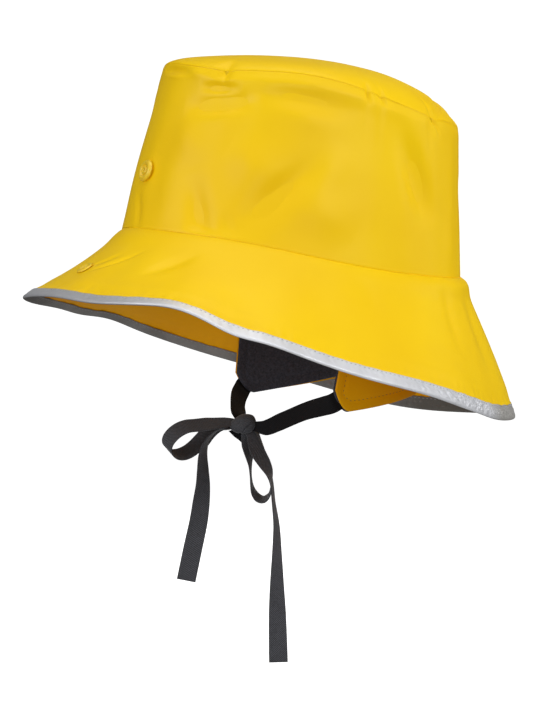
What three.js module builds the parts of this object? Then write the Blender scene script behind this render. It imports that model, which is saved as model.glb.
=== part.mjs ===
// A child's rain hat of coated cloth, in millimetres, +Z up.
// The hat faces -Y, and the wearer's left side is +X. The origin is the middle of the head opening,
// at the seam where the crown meets the brim. The hat is worn tipped back a little, its front raised,
// while its ties hang plumb.
// Angles round the hat start at the front and turn towards the wearer's left, in degrees.
import * as THREE from "three";

const frontRaised = 7.6;
const headOpening = { halfLength: 91.9, halfWidth: 71.0 };
const tipSeam = { halfLength: 80.5, halfWidth: 61.5, height: 87.2 };

const shellCloth = 1.5;
const brimCloth = 1.8;
const seamGap = 0.3;
const looseGap = 0.45;

// How the form changes round the hat. seam and rim raise or lower the brim seam and the tip seam,
// band is how far the seam allowance stands out below the tip seam, brim is the brim's length down its
// slope, slope its fall below level, and curl how many degrees steeper it starts than that, and shallower
// it ends.
const sections = [
  { at: 0, seam: 2.6, rim: 2.4, band: 0.9, brim: 62.6, slope: 41.0, curl: 10 },
  { at: 30, seam: 0.8, rim: -0.6, band: 0.9, brim: 63.6, slope: 39.6, curl: 9 },
  { at: 60, seam: -1.3, rim: 0.3, band: 0.9, brim: 66.6, slope: 43.6, curl: 7 },
  { at: 90, seam: -4.5, rim: -1.4, band: 0.8, brim: 69.0, slope: 54.8, curl: 4 },
  { at: 120, seam: -4.0, rim: -7.4, band: 0.6, brim: 73.2, slope: 59.5, curl: 1 },
  { at: 150, seam: 0.0, rim: -7.4, band: 0.6, brim: 78.4, slope: 64.9, curl: -3 },
  { at: 180, seam: 3.6, rim: -6.6, band: 0.9, brim: 80.8, slope: 59.0, curl: -5 },
  { at: 210, seam: 2.1, rim: -7.0, band: 0.9, brim: 77.0, slope: 63.6, curl: -3 },
  { at: 240, seam: -1.0, rim: -5.0, band: 0.9, brim: 71.6, slope: 55.2, curl: 1 },
  { at: 270, seam: -0.8, rim: -1.6, band: 0.8, brim: 67.2, slope: 47.0, curl: 4 },
  { at: 300, seam: 0.7, rim: 0.2, band: 0.9, brim: 64.6, slope: 38.4, curl: 7 },
  { at: 330, seam: 2.1, rim: 0.4, band: 0.9, brim: 63.2, slope: 39.4, curl: 9 },
];

// Waves along the brim's edge: the edge rises by rise over about wide degrees each way.
const edgeWaves = [
  { at: 26, wide: 9, rise: -1.6 },
  { at: 47, wide: 8, rise: 2.3 },
  { at: 61, wide: 6, rise: -2.0 },
  { at: 122, wide: 9, rise: -0.6 },
  { at: 298, wide: 7, rise: 1.3 },
  { at: 309, wide: 6, rise: -0.9 },
];

// Soft dents in the crown's side: up runs from 0 at the brim seam to 1 at the tip seam, lean is how many
// degrees round the hat the dent's line moves over the whole height, and deep is how far it sinks, or,
// where it is negative, how far the front swells.
const crownDents = [
  { at: 120, up: 0.55, wide: 7, tall: 0.3, lean: -30, deep: 2.2 },
  { at: 40, up: 0.1, wide: 5, tall: 0.16, lean: -18, deep: 1.2 },
  { at: 40, up: 0.8, wide: 12, tall: 0.06, lean: 0, deep: 1.1 },
  { at: 66, up: 0.3, wide: 6, tall: 0.25, lean: 55, deep: 0.9 },
  { at: 205, up: 0.5, wide: 9, tall: 0.3, lean: 20, deep: 1.6 },
  { at: 285, up: 0.35, wide: 8, tall: 0.25, lean: 35, deep: 1.4 },
  { at: 328, up: 0.75, wide: 11, tall: 0.08, lean: 0, deep: 1.0 },
  { at: 352, up: 0.35, wide: 26, tall: 0.36, lean: 0, deep: -1.5 },
];

// The seam allowance lies flat against the side below the tip seam and raises it, except where it puckers.
const seamBandTall = 6;
const puckers = [
  { at: 41, wide: 3.0, deep: 1.7 },
  { at: 95, wide: 1.6, deep: 1.3 },
  { at: 101, wide: 1.6, deep: 1.4 },
  { at: 125, wide: 2.6, deep: 1.8 },
  { at: 163, wide: 3.0, deep: 1.2 },
  { at: 222, wide: 2.6, deep: 1.5 },
  { at: 268, wide: 2.2, deep: 1.3 },
  { at: 318, wide: 3.0, deep: 1.5 },
];

// The tip's dome is fuller at the back. Its height over the tip seam's plane falls from the middle
// to the seam as (1 - r^flatness)^fullness, and close to the seam it turns down to meet it, as r^turn.
const tipDome = {
  height: 17.2,
  turn: 6,
  front: { flatness: 1.4, fullness: 0.62 },
  back: { flatness: 2.2, fullness: 0.85 },
};

const binding = { width: 7.4, tape: 0.8, fold: 1.4 };
const stud = { radius: 5.75, hole: 1.5 };
const studs = {
  snap_crown: { at: 8, up: 0.34, thick: 2.0 },
  snap_brim: { at: 8, out: 35, thick: 1.7 },
};

// Each flap's front edge lies at front along the hat, positive to the back. Its bottom edge falls by corner
// over the bevel at the front, down to drop below the brim seam, and then rises to the back at rise degrees.
const flapCloth = { outer: 1.2, lining: 2.0 };
const flapSize = { length: 70, above: 7, bevel: 12, roundBack: 11, lean: 8 };
const flaps = [
  { side: "left", turn: 1, front: 11.5, drop: 73.2, corner: 10, rise: 12.5 },
  { side: "right", turn: -1, front: -3.0, drop: 69.8, corner: 9, rise: 15 },
];

// The bow hangs in front of the throat and faces the wearer's left. Each run of the ribbon has a row for
// each point of its middle line: across to the back of the bow, deep away from its face, and up. over is
// the direction from one edge of the ribbon to the other, in the same three directions, and wide is its
// width there, which is less where the knot gathers it.
const ribbonThick = 0.9;
const bow = { x: 0.2, y: -27.7, z: -87.4, turned: 70 };
const knot = { across: 6.8, deep: 5.0, up: 5.2, squareness: 3 };
const runs = {
  tie_left: [
    { across: 48.5, deep: -43.2, up: 12.9, over: [0.44, 0, -0.9], wide: 10 },
    { across: 45.4, deep: -43, up: 11.2, over: [0.3, 0, -0.95], wide: 10 },
    { across: 41, deep: -37.6, up: 9.9, over: [0, 0, -1], wide: 10 },
    { across: 32.7, deep: -26.2, up: 7.3, over: [-0.25, 0, -0.97], wide: 10 },
    { across: 19.3, deep: -11.4, up: 1.3, over: [-0.3, 0, -0.95], wide: 10 },
    { across: 12, deep: -5.2, up: -1.7, over: [-0.1, 0, -1], wide: 8.2 },
    { across: 6.9, deep: -2.6, up: -1.2, over: [0, 0, -1], wide: 5.4 },
  ],
  tie_right: [
    { across: -0.5, deep: 60.5, up: 18.7, over: [0.68, 0, -0.73], wide: 10 },
    { across: -1.3, deep: 56.5, up: 17.3, over: [0.74, 0, -0.67], wide: 10 },
    { across: -2.5, deep: 48, up: 14.8, over: [0.76, 0, -0.65], wide: 10 },
    { across: -3.1, deep: 34, up: 11.8, over: [0.74, 0, -0.67], wide: 10 },
    { across: -2.8, deep: 18, up: 8.6, over: [0.8, 0, -0.6], wide: 10 },
    { across: -2.2, deep: 5, up: 4.5, over: [0.92, 0, -0.38], wide: 8.4 },
  ],
  bow_loop_front: [
    { across: -7.2, deep: -1.2, up: 0.9, over: [-0.1, -0.6, -0.8], wide: 5.6 },
    { across: -13, deep: -3.2, up: 0.5, over: [0.15, -0.74, -0.66], wide: 8.4 },
    { across: -18.5, deep: -4.6, up: 0.1, over: [0.4, -0.68, -0.6], wide: 10 },
    { across: -24, deep: -5.4, up: -0.5, over: [0.52, -0.64, -0.56], wide: 10 },
    { across: -29.3, deep: -6, up: -1.1, over: [0.52, -0.64, -0.56], wide: 10 },
    { across: -33.2, deep: -6.4, up: -2.7, over: [0.52, -0.64, -0.56], wide: 10 },
    { across: -36.4, deep: -6.6, up: -5.1, over: [0.52, -0.64, -0.56], wide: 10 },
    { across: -38.9, deep: -6.2, up: -8.3, over: [0.52, -0.64, -0.56], wide: 10 },
    { across: -39.6, deep: -5, up: -11.6, over: [0.52, -0.64, -0.56], wide: 10 },
    { across: -38.3, deep: -3, up: -14.2, over: [0.52, -0.64, -0.56], wide: 10 },
    { across: -35.6, deep: -0.8, up: -15.9, over: [0.52, -0.64, -0.56], wide: 10 },
    { across: -32.2, deep: 1.2, up: -15.9, over: [0.52, -0.64, -0.56], wide: 10 },
    { across: -28.6, deep: 3, up: -14.4, over: [0.52, -0.64, -0.56], wide: 10 },
    { across: -25.2, deep: 4.6, up: -11.9, over: [0.52, -0.64, -0.56], wide: 10 },
    { across: -21.8, deep: 5.8, up: -8.8, over: [0.5, -0.5, -0.7], wide: 10 },
    { across: -18.2, deep: 6.2, up: -4.6, over: [0.4, -0.4, -0.8], wide: 9 },
    { across: -13, deep: 5.8, up: -1.3, over: [0.2, -0.35, -0.9], wide: 6.8 },
    { across: -7.2, deep: 4.6, up: 0, over: [0.1, -0.3, -1], wide: 5 },
  ],
  bow_loop_back: [
    { across: 4.2, deep: -0.6, up: -5.5, over: [0.5, 0.5, 0.7], wide: 5.4 },
    { across: 5.8, deep: -1.8, up: -9.7, over: [0.5, 0.6, 0.6], wide: 7.6 },
    { across: 8, deep: -3.8, up: -14.9, over: [0.5, 0.68, 0.5], wide: 10 },
    { across: 11.2, deep: -5.4, up: -20.4, over: [0.42, 0.76, 0.46], wide: 10 },
    { across: 13.8, deep: -6, up: -25.7, over: [0.2, 0.87, 0.44], wide: 10 },
    { across: 14.7, deep: -5.4, up: -30.8, over: [0.02, 0.9, 0.42], wide: 10 },
    { across: 14.3, deep: -3.8, up: -35, over: [0, 0.92, 0.36], wide: 10 },
    { across: 12.3, deep: -1.6, up: -38.5, over: [0.1, 0.92, 0.36], wide: 10 },
    { across: 9.2, deep: -0.2, up: -39, over: [0, 0.92, 0.38], wide: 10 },
    { across: 6.6, deep: 0.8, up: -36.7, over: [0.18, 0.92, 0.33], wide: 10 },
    { across: 4.9, deep: 1.4, up: -32.6, over: [0.1, 0.98, 0.1], wide: 10 },
    { across: 4.2, deep: 1.6, up: -27.2, over: [0.04, 1, 0], wide: 10 },
    { across: 3.8, deep: 1.6, up: -21.8, over: [0.08, 1, 0], wide: 10 },
    { across: 3.2, deep: 1.4, up: -16.2, over: [0.3, 0.95, 0], wide: 10 },
    { across: 2.6, deep: 1.1, up: -11.2, over: [0.55, 0.83, 0.1], wide: 9 },
    { across: 1.9, deep: 0.7, up: -5.8, over: [0.92, 0.3, 0.1], wide: 6.6 },
  ],
  bow_tail_front: [
    { across: -7.2, deep: 0.8, up: -3.4, over: [-0.1, -1, 0.1], wide: 5 },
    { across: -12.6, deep: -1, up: -3.6, over: [-0.1, -1, 0.1], wide: 7.4 },
    { across: -17.6, deep: -3, up: -7.2, over: [-0.1, -0.99, 0.1], wide: 9 },
    { across: -20, deep: -4.4, up: -12.2, over: [-0.3, -0.95, 0.1], wide: 10 },
    { across: -20.9, deep: -5.2, up: -17.2, over: [-0.45, -0.89, 0], wide: 10 },
    { across: -20.9, deep: -5.6, up: -24.1, over: [-0.58, -0.81, 0], wide: 10 },
    { across: -20.9, deep: -5.8, up: -31.4, over: [-0.71, -0.7, 0], wide: 10 },
    { across: -21.8, deep: -6, up: -40.8, over: [-0.88, -0.47, 0], wide: 10 },
    { across: -23.1, deep: -6, up: -50.3, over: [-0.96, -0.28, 0], wide: 10 },
    { across: -26.4, deep: -6, up: -66, over: [-1, -0.1, 0], wide: 10 },
    { across: -29.6, deep: -6, up: -81.5, over: [-1, -0.1, 0], wide: 10 },
  ],
  bow_tail_back: [
    { across: 5.6, deep: 4.4, up: -3.3, over: [-0.4, -0.9, 0.1], wide: 5.6 },
    { across: 8.4, deep: 8.2, up: -9.6, over: [-0.3, -0.95, 0], wide: 8.4 },
    { across: 12, deep: 9.8, up: -19.6, over: [-0.2, -0.98, 0], wide: 10 },
    { across: 14.8, deep: 10.2, up: -29.6, over: [-0.13, -0.99, 0], wide: 10 },
    { across: 16.1, deep: 9.8, up: -41.4, over: [-0.15, -0.98, 0], wide: 10 },
    { across: 17.6, deep: 8.8, up: -53.4, over: [-0.3, -0.95, 0], wide: 10 },
    { across: 17.9, deep: 7.8, up: -69, over: [-0.5, -0.86, 0], wide: 10 },
    { across: 17.9, deep: 7, up: -85.9, over: [-0.74, -0.67, 0], wide: 10 },
    { across: 18.1, deep: 6.4, up: -99.5, over: [-0.9, -0.44, 0], wide: 10 },
    { across: 18.6, deep: 6.2, up: -125.4, over: [-1, -0.1, 0], wide: 10 },
  ],
};

const segmentsRound = 80;
const studSegments = 16;
const ribbonStep = 3;

const material = (color, roughness) =>
  new THREE.MeshStandardMaterial({ color, roughness, metalness: 0, side: THREE.FrontSide });
const finishes = {
  coated: material(0xe8bb1c, 0.4),
  reflective: material(0xaeb2bc, 0.35),
  fleece: material(0x1c1d24, 0.95),
  studPlastic: material(0xe6b510, 0.35),
  ribbon: material(0x322f2d, 0.85),
};

const rad = THREE.MathUtils.degToRad;
const lerp = THREE.MathUtils.lerp;
const span = (count, from = 0, to = 1) =>
  Array.from({ length: count + 1 }, (_, i) => lerp(from, to, i / count));

// The column of the sections at an angle: the one closed wave that passes through every row.
function around(column, degrees) {
  const count = sections.length;
  let sum = 0;
  for (const row of sections) {
    const gap = rad(degrees - row.at);
    const meets = Math.abs(Math.sin(gap / 2)) < 1e-6;
    sum += row[column] * (meets ? 1 : Math.sin((count * gap) / 2) / (count * Math.tan(gap / 2)));
  }
  return sum;
}

// 1 at the middle of a bump, falling smoothly to almost 0 at two and a half widths.
const bump = (distance, width) => Math.exp(-((distance / width) ** 2));

// The signed distance from one angle to another, the short way round.
const apart = (degrees, other) => ((((degrees - other + 180) % 360) + 360) % 360) - 180;

// How far the seam allowance stands out, less the puckers.
const bandHeight = (degrees) =>
  puckers.reduce((sum, row) => sum - row.deep * bump(apart(degrees, row.at), row.wide), around("band", degrees));

// How much of that height the side has at a distance below the tip seam: it swells as far as the seam
// allowance reaches, and then falls back.
const bandShape = (below) =>
  lerp(0.35, 1, Math.min(below / (seamBandTall - 1), 1)) *
  (1 - THREE.MathUtils.smoothstep(below, seamBandTall - 1, seamBandTall + 1.6));

// Where a level oval is at an angle, and the level direction that points out of it there.
function ovalPoint(oval, degrees, z) {
  const angle = rad(degrees);
  return new THREE.Vector3(oval.halfWidth * Math.sin(angle), -oval.halfLength * Math.cos(angle), z);
}
function ovalOut(oval, degrees) {
  const angle = rad(degrees);
  return new THREE.Vector3(Math.sin(angle) / oval.halfWidth, -Math.cos(angle) / oval.halfLength, 0).normalize();
}

const brimSeamPoint = (degrees) => ovalPoint(headOpening, degrees, around("seam", degrees));
const tipSeamPoint = (degrees) => ovalPoint(tipSeam, degrees, tipSeam.height + around("rim", degrees));

// The crown's side, up from 0 at the brim seam to 1 at the tip seam, and inside its outer face by depth.
function crownPoint(degrees, up, depth) {
  const point = brimSeamPoint(degrees).lerp(tipSeamPoint(degrees), up);
  let raised = 0;
  for (const dent of crownDents) {
    const line = dent.at + dent.lean * (up - dent.up);
    raised -= dent.deep * bump(apart(degrees, line), dent.wide) * bump(up - dent.up, dent.tall);
  }
  raised += bandShape((1 - up) * tipSeam.height) * bandHeight(degrees);
  return point.addScaledVector(ovalOut(headOpening, degrees), raised - depth);
}

// The tip panel at a fraction r of the way from its middle to the seam, below its upper face by depth.
function tipPoint(degrees, r, depth) {
  const back = (1 - Math.cos(rad(degrees))) / 2;
  const flatness = lerp(tipDome.front.flatness, tipDome.back.flatness, back);
  const fullness = lerp(tipDome.front.fullness, tipDome.back.fullness, back);
  const seam = tipSeamPoint(degrees);
  const inward = r * (1 - depth / tipSeam.halfWidth);
  const dome = tipDome.height * (1 - r ** flatness) ** fullness;
  const edge = r ** 12 * bandShape(0) * bandHeight(degrees);
  const point = new THREE.Vector3(seam.x * inward, seam.y * inward, 0);
  point.z = lerp(tipSeam.height, seam.z, r ** tipDome.turn) + seamGap + dome - (r < 1 ? depth : 0);
  return point.addScaledVector(ovalOut(tipSeam, degrees), edge);
}

// How the brim runs away from the seam: an arc that turns by twice the curl over the brim's length.
// It gives the point of its upper face at a distance from the seam, and the upward normal there.
function brimFrame(degrees, distance) {
  const length = around("brim", degrees);
  const wave = edgeWaves.reduce((sum, row) => sum + row.rise * bump(apart(degrees, row.at), row.wide), 0);
  const slope = rad(around("slope", degrees));
  const curl = rad(around("curl", degrees));
  const along = distance / length;
  const half = curl * along;
  const straight = Math.abs(half) < 1e-6 ? distance : (distance * Math.sin(half)) / half;
  const chord = slope + curl - half;
  const fall = slope + curl - 2 * half;
  const out = ovalOut(headOpening, degrees);
  const point = brimSeamPoint(degrees).addScaledVector(out, straight * Math.cos(chord));
  point.z += wave * along ** 2 - straight * Math.sin(chord) - seamGap;
  const normal = out.clone().multiplyScalar(Math.sin(fall));
  normal.z = Math.cos(fall);
  return { point, normal };
}

// A point of the brim at a distance from the seam, below its upper face by depth.
function brimPoint(degrees, distance, depth) {
  const { point, normal } = brimFrame(degrees, distance);
  return point.addScaledVector(normal, -depth);
}

// Joins rows of points into one closed body. Each row is a closed outline with as many points as the next.
// The ends are a "loop", where the last row meets the first, a "fan" from each end row's middle, or a "strip"
// between the two faces of a thin sheet, whose outline runs along one face and back along the other.
function skin(rows, ends) {
  const across = rows[0].length;
  const positions = rows.flat().flatMap((point) => point.toArray());
  const index = [];
  const rowPairs = ends === "loop" ? rows.length : rows.length - 1;
  for (let i = 0; i < rowPairs; i++) {
    const here = i * across;
    const next = ((i + 1) % rows.length) * across;
    for (let j = 0; j < across; j++) {
      const k = (j + 1) % across;
      index.push(here + j, next + j, next + k, here + j, next + k, here + k);
    }
  }
  const last = (rows.length - 1) * across;
  if (ends === "strip") {
    for (let j = 0; j < across / 2 - 1; j++) {
      const k = across - 1 - j;
      index.push(j, j + 1, k - 1, j, k - 1, k, last + j, last + k - 1, last + j + 1, last + j, last + k, last + k - 1);
    }
  }
  if (ends === "fan") {
    const middles = [rows[0], rows.at(-1)].map((row) =>
      row.reduce((sum, point) => sum.add(point), new THREE.Vector3()).divideScalar(across),
    );
    const middle = rows.length * across;
    positions.push(...middles[0].toArray(), ...middles[1].toArray());
    for (let j = 0; j < across; j++) {
      const k = (j + 1) % across;
      index.push(middle, j, k, middle + 1, last + k, last + j);
    }
  }
  const geometry = new THREE.BufferGeometry();
  geometry.setAttribute("position", new THREE.Float32BufferAttribute(positions, 3));
  geometry.setIndex(index);
  geometry.computeVertexNormals();
  return geometry;
}

function mesh(name, geometry, finish) {
  const made = new THREE.Mesh(geometry, finish);
  made.name = name;
  return made;
}

const everyAngle = span(segmentsRound, 0, 360).slice(0, -1);

// The crown's side wall, with the raised band of the seam allowance near its top.
function crownSide() {
  const band = seamBandTall / tipSeam.height;
  const outer = [...span(7, 0, 1 - 1.9 * band), 1 - 1.3 * band, 1 - 0.83 * band, 1 - 0.4 * band, 1];
  const inner = [...span(4).reverse()];
  const rows = everyAngle.map((degrees) => [
    ...inner.map((up) => crownPoint(degrees, up, shellCloth)),
    ...outer.map((up) => crownPoint(degrees, up, 0)),
  ]);
  return mesh("crown_side", skin(rows, "loop"), finishes.coated);
}

// The tip panel: rings from the middle of its underside out to the seam, and back over its upper face.
function crownTip() {
  const rings = span(8).map((step) => Math.sin((step * Math.PI) / 2));
  const under = span(3).map((step) => Math.sin((step * Math.PI) / 2));
  const ring = (r, depth) => everyAngle.map((degrees) => tipPoint(degrees, r, depth));
  const rows = [
    ...under.slice(1).map((r) => ring(r, shellCloth)),
    ...rings.slice(1).reverse().map((r) => ring(r, 0)),
  ];
  return mesh("crown_tip", skin(rows.reverse(), "fan"), finishes.coated);
}

// The brim's shell, from its end at the seam to just inside the fold of the binding.
function brim() {
  const rows = everyAngle.map((degrees) => {
    const reach = around("brim", degrees) - binding.fold - looseGap;
    const distances = [...span(5, 0, reach - binding.width), reach];
    return [
      ...distances.map((distance) => brimPoint(degrees, distance, 0)),
      ...distances.reverse().map((distance) => brimPoint(degrees, distance, brimCloth)),
    ];
  });
  return mesh("brim", skin(rows.reverse(), "loop"), finishes.coated);
}

// The binding's tape, folded round the brim's edge and lying on both faces.
function brimBinding() {
  const above = -looseGap;
  const below = brimCloth + looseGap;
  const middle = brimCloth / 2;
  const outline = [
    { inward: binding.width, depth: above - binding.tape },
    { inward: binding.fold, depth: above - binding.tape },
    { inward: 0, depth: middle },
    { inward: binding.fold, depth: below + binding.tape },
    { inward: binding.width, depth: below + binding.tape },
    { inward: binding.width, depth: below },
    { inward: binding.fold, depth: below },
    { inward: binding.fold, depth: above },
    { inward: binding.width, depth: above },
  ];
  const rows = everyAngle.map((degrees) => {
    const edge = around("brim", degrees);
    return outline.map((row) => brimPoint(degrees, edge - row.inward, row.depth));
  });
  return mesh("brim_binding", skin(rows.reverse(), "loop"), finishes.reflective);
}

// The angle at which the head opening lies at a distance behind the middle, on one side of the hat.
const angleAt = (behind, turn) => turn * THREE.MathUtils.radToDeg(Math.acos(-behind / headOpening.halfLength));

// A point of a flap: along from its front edge, below the brim seam by drop, inside its outer face by depth.
// Above the seam it lies against the crown's side, and below it hangs leaning in towards the head.
function flapPoint(flap, along, drop, depth) {
  const degrees = angleAt(flap.front + along, flap.turn);
  const above = Math.max(-drop, 0);
  const below = Math.max(drop, 0);
  const inset = shellCloth + looseGap + depth + below * Math.tan(rad(flapSize.lean));
  const point = crownPoint(degrees, above / tipSeam.height, inset);
  point.z -= below;
  return point;
}

// How far a flap's bottom edge lies below the brim seam.
function flapBottom(flap, along) {
  const rising = flap.drop - (along - flapSize.bevel) * Math.tan(rad(flap.rise));
  const bevelled = flap.drop - flap.corner * (1 - along / flapSize.bevel) ** 2;
  const fromBack = Math.max(0, along - (flapSize.length - flapSize.roundBack)) / flapSize.roundBack;
  const rounded = 0.35 * flap.drop * (1 - Math.sqrt(1 - Math.min(fromBack, 1) ** 2));
  return (along < flapSize.bevel ? bevelled : rising) - rounded;
}

// One layer of a flap, between two depths behind its outer face.
function flapLayer(name, flap, depths, finish) {
  const stations = [...span(3, 0, flapSize.bevel), ...span(8, flapSize.bevel, flapSize.length).slice(1)];
  const rows = stations.map((along) => {
    const bottom = flapBottom(flap, along);
    return [
      ...span(7, -flapSize.above, bottom).map((drop) => flapPoint(flap, along, drop, depths[0])),
      ...span(7, bottom, -flapSize.above).map((drop) => flapPoint(flap, along, drop, depths[1])),
    ];
  });
  return mesh(name, skin(flap.turn > 0 ? rows.reverse() : rows, "strip"), finish);
}

function earFlap(flap) {
  const layers = new THREE.Group();
  const inside = flapCloth.outer + looseGap;
  layers.add(
    flapLayer(`ear_flap_${flap.side}`, flap, [0, flapCloth.outer], finishes.coated),
    flapLayer(`ear_flap_lining_${flap.side}`, flap, [inside, inside + flapCloth.lining], finishes.fleece),
  );
  return layers;
}

// A ring press stud: a raised rim round a dished middle with a boss, turned on its axis.
function pressStud(name, place, normal) {
  const { radius, hole } = stud;
  const { thick } = studs[name];
  const profile = [
    [0, 0],
    [radius, 0],
    [radius, 0.5 * thick],
    [0.86 * radius, thick],
    [0.62 * radius, thick],
    [0.5 * radius, 0.5 * thick],
    [1.7 * hole, 0.5 * thick],
    [1.2 * hole, 0.85 * thick],
    [0, 0.85 * thick],
  ];
  const points = profile.map(([x, y]) => new THREE.Vector2(x, y));
  const geometry = new THREE.LatheGeometry(points, studSegments);
  const made = mesh(name, geometry, finishes.studPlastic);
  made.position.copy(place).addScaledVector(normal, seamGap);
  made.quaternion.setFromUnitVectors(new THREE.Vector3(0, 1, 0), normal);
  return made;
}

function crownStud() {
  const { at, up } = studs.snap_crown;
  const lean = Math.atan2(headOpening.halfLength - tipSeam.halfLength, tipSeam.height);
  const normal = ovalOut(headOpening, at).setZ(Math.tan(lean)).normalize();
  return pressStud("snap_crown", crownPoint(at, up, 0), normal);
}

function brimStud() {
  const { point, normal } = brimFrame(studs.snap_brim.at, studs.snap_brim.out);
  return pressStud("snap_brim", point, normal);
}

// A run of the flat ribbon along its rows. Its width lies along over, made square to its path.
function ribbonRun(name) {
  const table = runs[name];
  const curve = new THREE.CatmullRomCurve3(
    table.map((row) => new THREE.Vector3(row.across, row.deep, row.up)),
    false,
    "centripetal",
  );
  const steps = Math.ceil(curve.getLength() / ribbonStep);
  const rows = span(steps).map((step) => {
    const place = step * (table.length - 1);
    const row = Math.min(Math.floor(place), table.length - 2);
    const [here, next] = [table[row], table[row + 1]];
    const half = lerp(here.wide, next.wide, place - row) / 2;
    const middle = curve.getPoint(step);
    const along = curve.getTangent(step);
    const wide = new THREE.Vector3(...here.over).lerp(new THREE.Vector3(...next.over), place - row);
    wide.addScaledVector(along, -wide.dot(along)).normalize();
    const thick = new THREE.Vector3().crossVectors(along, wide);
    const corner = (w, t) =>
      middle
        .clone()
        .addScaledVector(wide, w * half)
        .addScaledVector(thick, (t * ribbonThick) / 2);
    return [corner(-1, -1), corner(-1, 1), corner(1, 1), corner(1, -1)];
  });
  return mesh(name, skin(rows, "fan"), finishes.ribbon);
}

// The knot: an oval pad of wound ribbon, squarer than an ellipsoid.
function bowKnot() {
  const power = knot.squareness;
  const rows = [-0.98, -0.8, -0.45, 0, 0.45, 0.8, 0.98].map((place) => {
    const girth = (1 - Math.abs(place) ** power) ** (1 / power);
    return span(16, 0, 360).slice(0, -1).map((degrees) => {
      const c = Math.cos(rad(degrees));
      const s = Math.sin(rad(degrees));
      const reach = girth / (Math.abs(c) ** power + Math.abs(s) ** power) ** (1 / power);
      return new THREE.Vector3(knot.across * place, knot.deep * reach * c, knot.up * reach * s);
    });
  });
  return mesh("bow_knot", skin(rows.reverse(), "fan"), finishes.ribbon);
}

const hat = new THREE.Group();
hat.rotation.x = rad(-frontRaised);
hat.add(crownTip(), crownSide(), brim(), brimBinding(), ...flaps.map(earFlap), crownStud(), brimStud());

const ties = new THREE.Group();
ties.position.set(bow.x, bow.y, bow.z);
ties.rotation.z = rad(bow.turned);
ties.add(bowKnot(), ...Object.keys(runs).map(ribbonRun));

const rainHat = new THREE.Group();
rainHat.add(hat, ties);

export default rainHat;
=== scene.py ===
import bpy
import numpy as np
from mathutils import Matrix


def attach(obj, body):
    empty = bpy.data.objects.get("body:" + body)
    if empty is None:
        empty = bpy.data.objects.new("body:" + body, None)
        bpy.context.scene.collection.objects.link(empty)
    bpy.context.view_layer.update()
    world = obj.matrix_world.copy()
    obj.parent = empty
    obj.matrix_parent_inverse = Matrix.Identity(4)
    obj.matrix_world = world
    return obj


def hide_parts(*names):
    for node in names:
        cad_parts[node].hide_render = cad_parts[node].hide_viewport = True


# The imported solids
# They stay where they are as the frame, and each one below is replaced by the finished cloth, ribbon or
# stud that it stands for. Sizes are in millimetres until a mesh is made.
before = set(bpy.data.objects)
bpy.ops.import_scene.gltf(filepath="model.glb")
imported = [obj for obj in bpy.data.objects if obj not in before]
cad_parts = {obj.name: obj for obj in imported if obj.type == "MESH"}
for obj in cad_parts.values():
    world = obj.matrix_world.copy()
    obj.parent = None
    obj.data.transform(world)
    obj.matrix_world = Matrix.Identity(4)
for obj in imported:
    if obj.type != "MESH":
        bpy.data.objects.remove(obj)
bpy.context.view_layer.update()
fine = 1.0

# The camera
# It looks level at the hat from the wearer's left and a little from the front, 1.5 m away, through a lens
# that takes in 379 mm from top to bottom at the hat.
camera_turn = np.radians(70.0)
camera_aim = np.array([-0.00404, -0.01110, -0.05384])
camera_away = 1.5
camera_view_tall = 0.3794
camera_lens = bpy.data.cameras.new("camera")
camera_lens.sensor_fit = "VERTICAL"
camera_lens.sensor_height = 24.0
camera_lens.lens = camera_lens.sensor_height * camera_away / camera_view_tall
camera = bpy.data.objects.new("camera", camera_lens)
bpy.context.scene.collection.objects.link(camera)
camera.location = camera_aim + camera_away * np.array([np.sin(camera_turn), -np.cos(camera_turn), 0.0])
camera.rotation_euler = (np.pi / 2, 0.0, camera_turn)
bpy.context.scene.camera = camera

# The crown's side
# A wall of soft cloth with a yellow waterproof coating, cut as one strip and closed behind. It is sewn to
# the brim below and to the tip above, where its seam allowance is turned down inside and shows as a band.
front_raised = np.radians(7.6)
head_half = np.array([71.0, 91.9])
tip_half = np.array([61.5, 80.5])
crown_tall = 87.2
shell_cloth = 1.5
seam_gap = 0.3
# Twelve values round the hat, one every 30 degrees from the front: how high the brim seam and the tip's rim
# rise, the height of the band, its share at the tip seam and its drop below the seam allowance, the swell
# of the cloth over the brim seam, and the brim's length, slope and curl
round_table = {
    "seam": [2.6, 0.8, -1.3, -4.5, -4.0, 0.0, 3.6, 2.1, -1.0, -0.8, 0.7, 2.1],
    "rim": [2.4, -0.6, 0.3, -1.4, -7.4, -7.4, -6.6, -7.0, -5.0, -1.6, 0.2, 0.4],
    "band": [0.9, 0.9, 1.1, 1.0, 0.7, 0.6, 0.9, 0.9, 0.9, 0.8, 0.9, 0.9],
    "corner": [1.0, 0.3, -0.3, -0.4, -0.1, 0.3, 0.4, 0.4, 0.3, 0.0, 0.3, 0.9],
    "drop": [0.2, 0.7, 1.0, 0.8, 0.3, 0.2, 0.3, 0.5, 0.7, 0.8, 0.6, 0.3],
    "puff": [0.7, 0.6, 0.5, 0.4, 0.9, 2.0, 1.8, 1.0, 0.7, 0.6, 0.6, 0.7],
    "brim": [62.6, 63.6, 66.6, 69.0, 73.2, 78.4, 80.8, 77.0, 71.6, 67.2, 64.6, 63.2],
    "slope": [41.0, 39.6, 43.6, 54.8, 59.5, 64.9, 59.0, 63.6, 55.2, 47.0, 38.4, 39.4],
    "curl": [10.0, 9.0, 7.0, 4.0, 1.0, -3.0, -5.0, -3.0, 1.0, 4.0, 7.0, 9.0],
}
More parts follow.
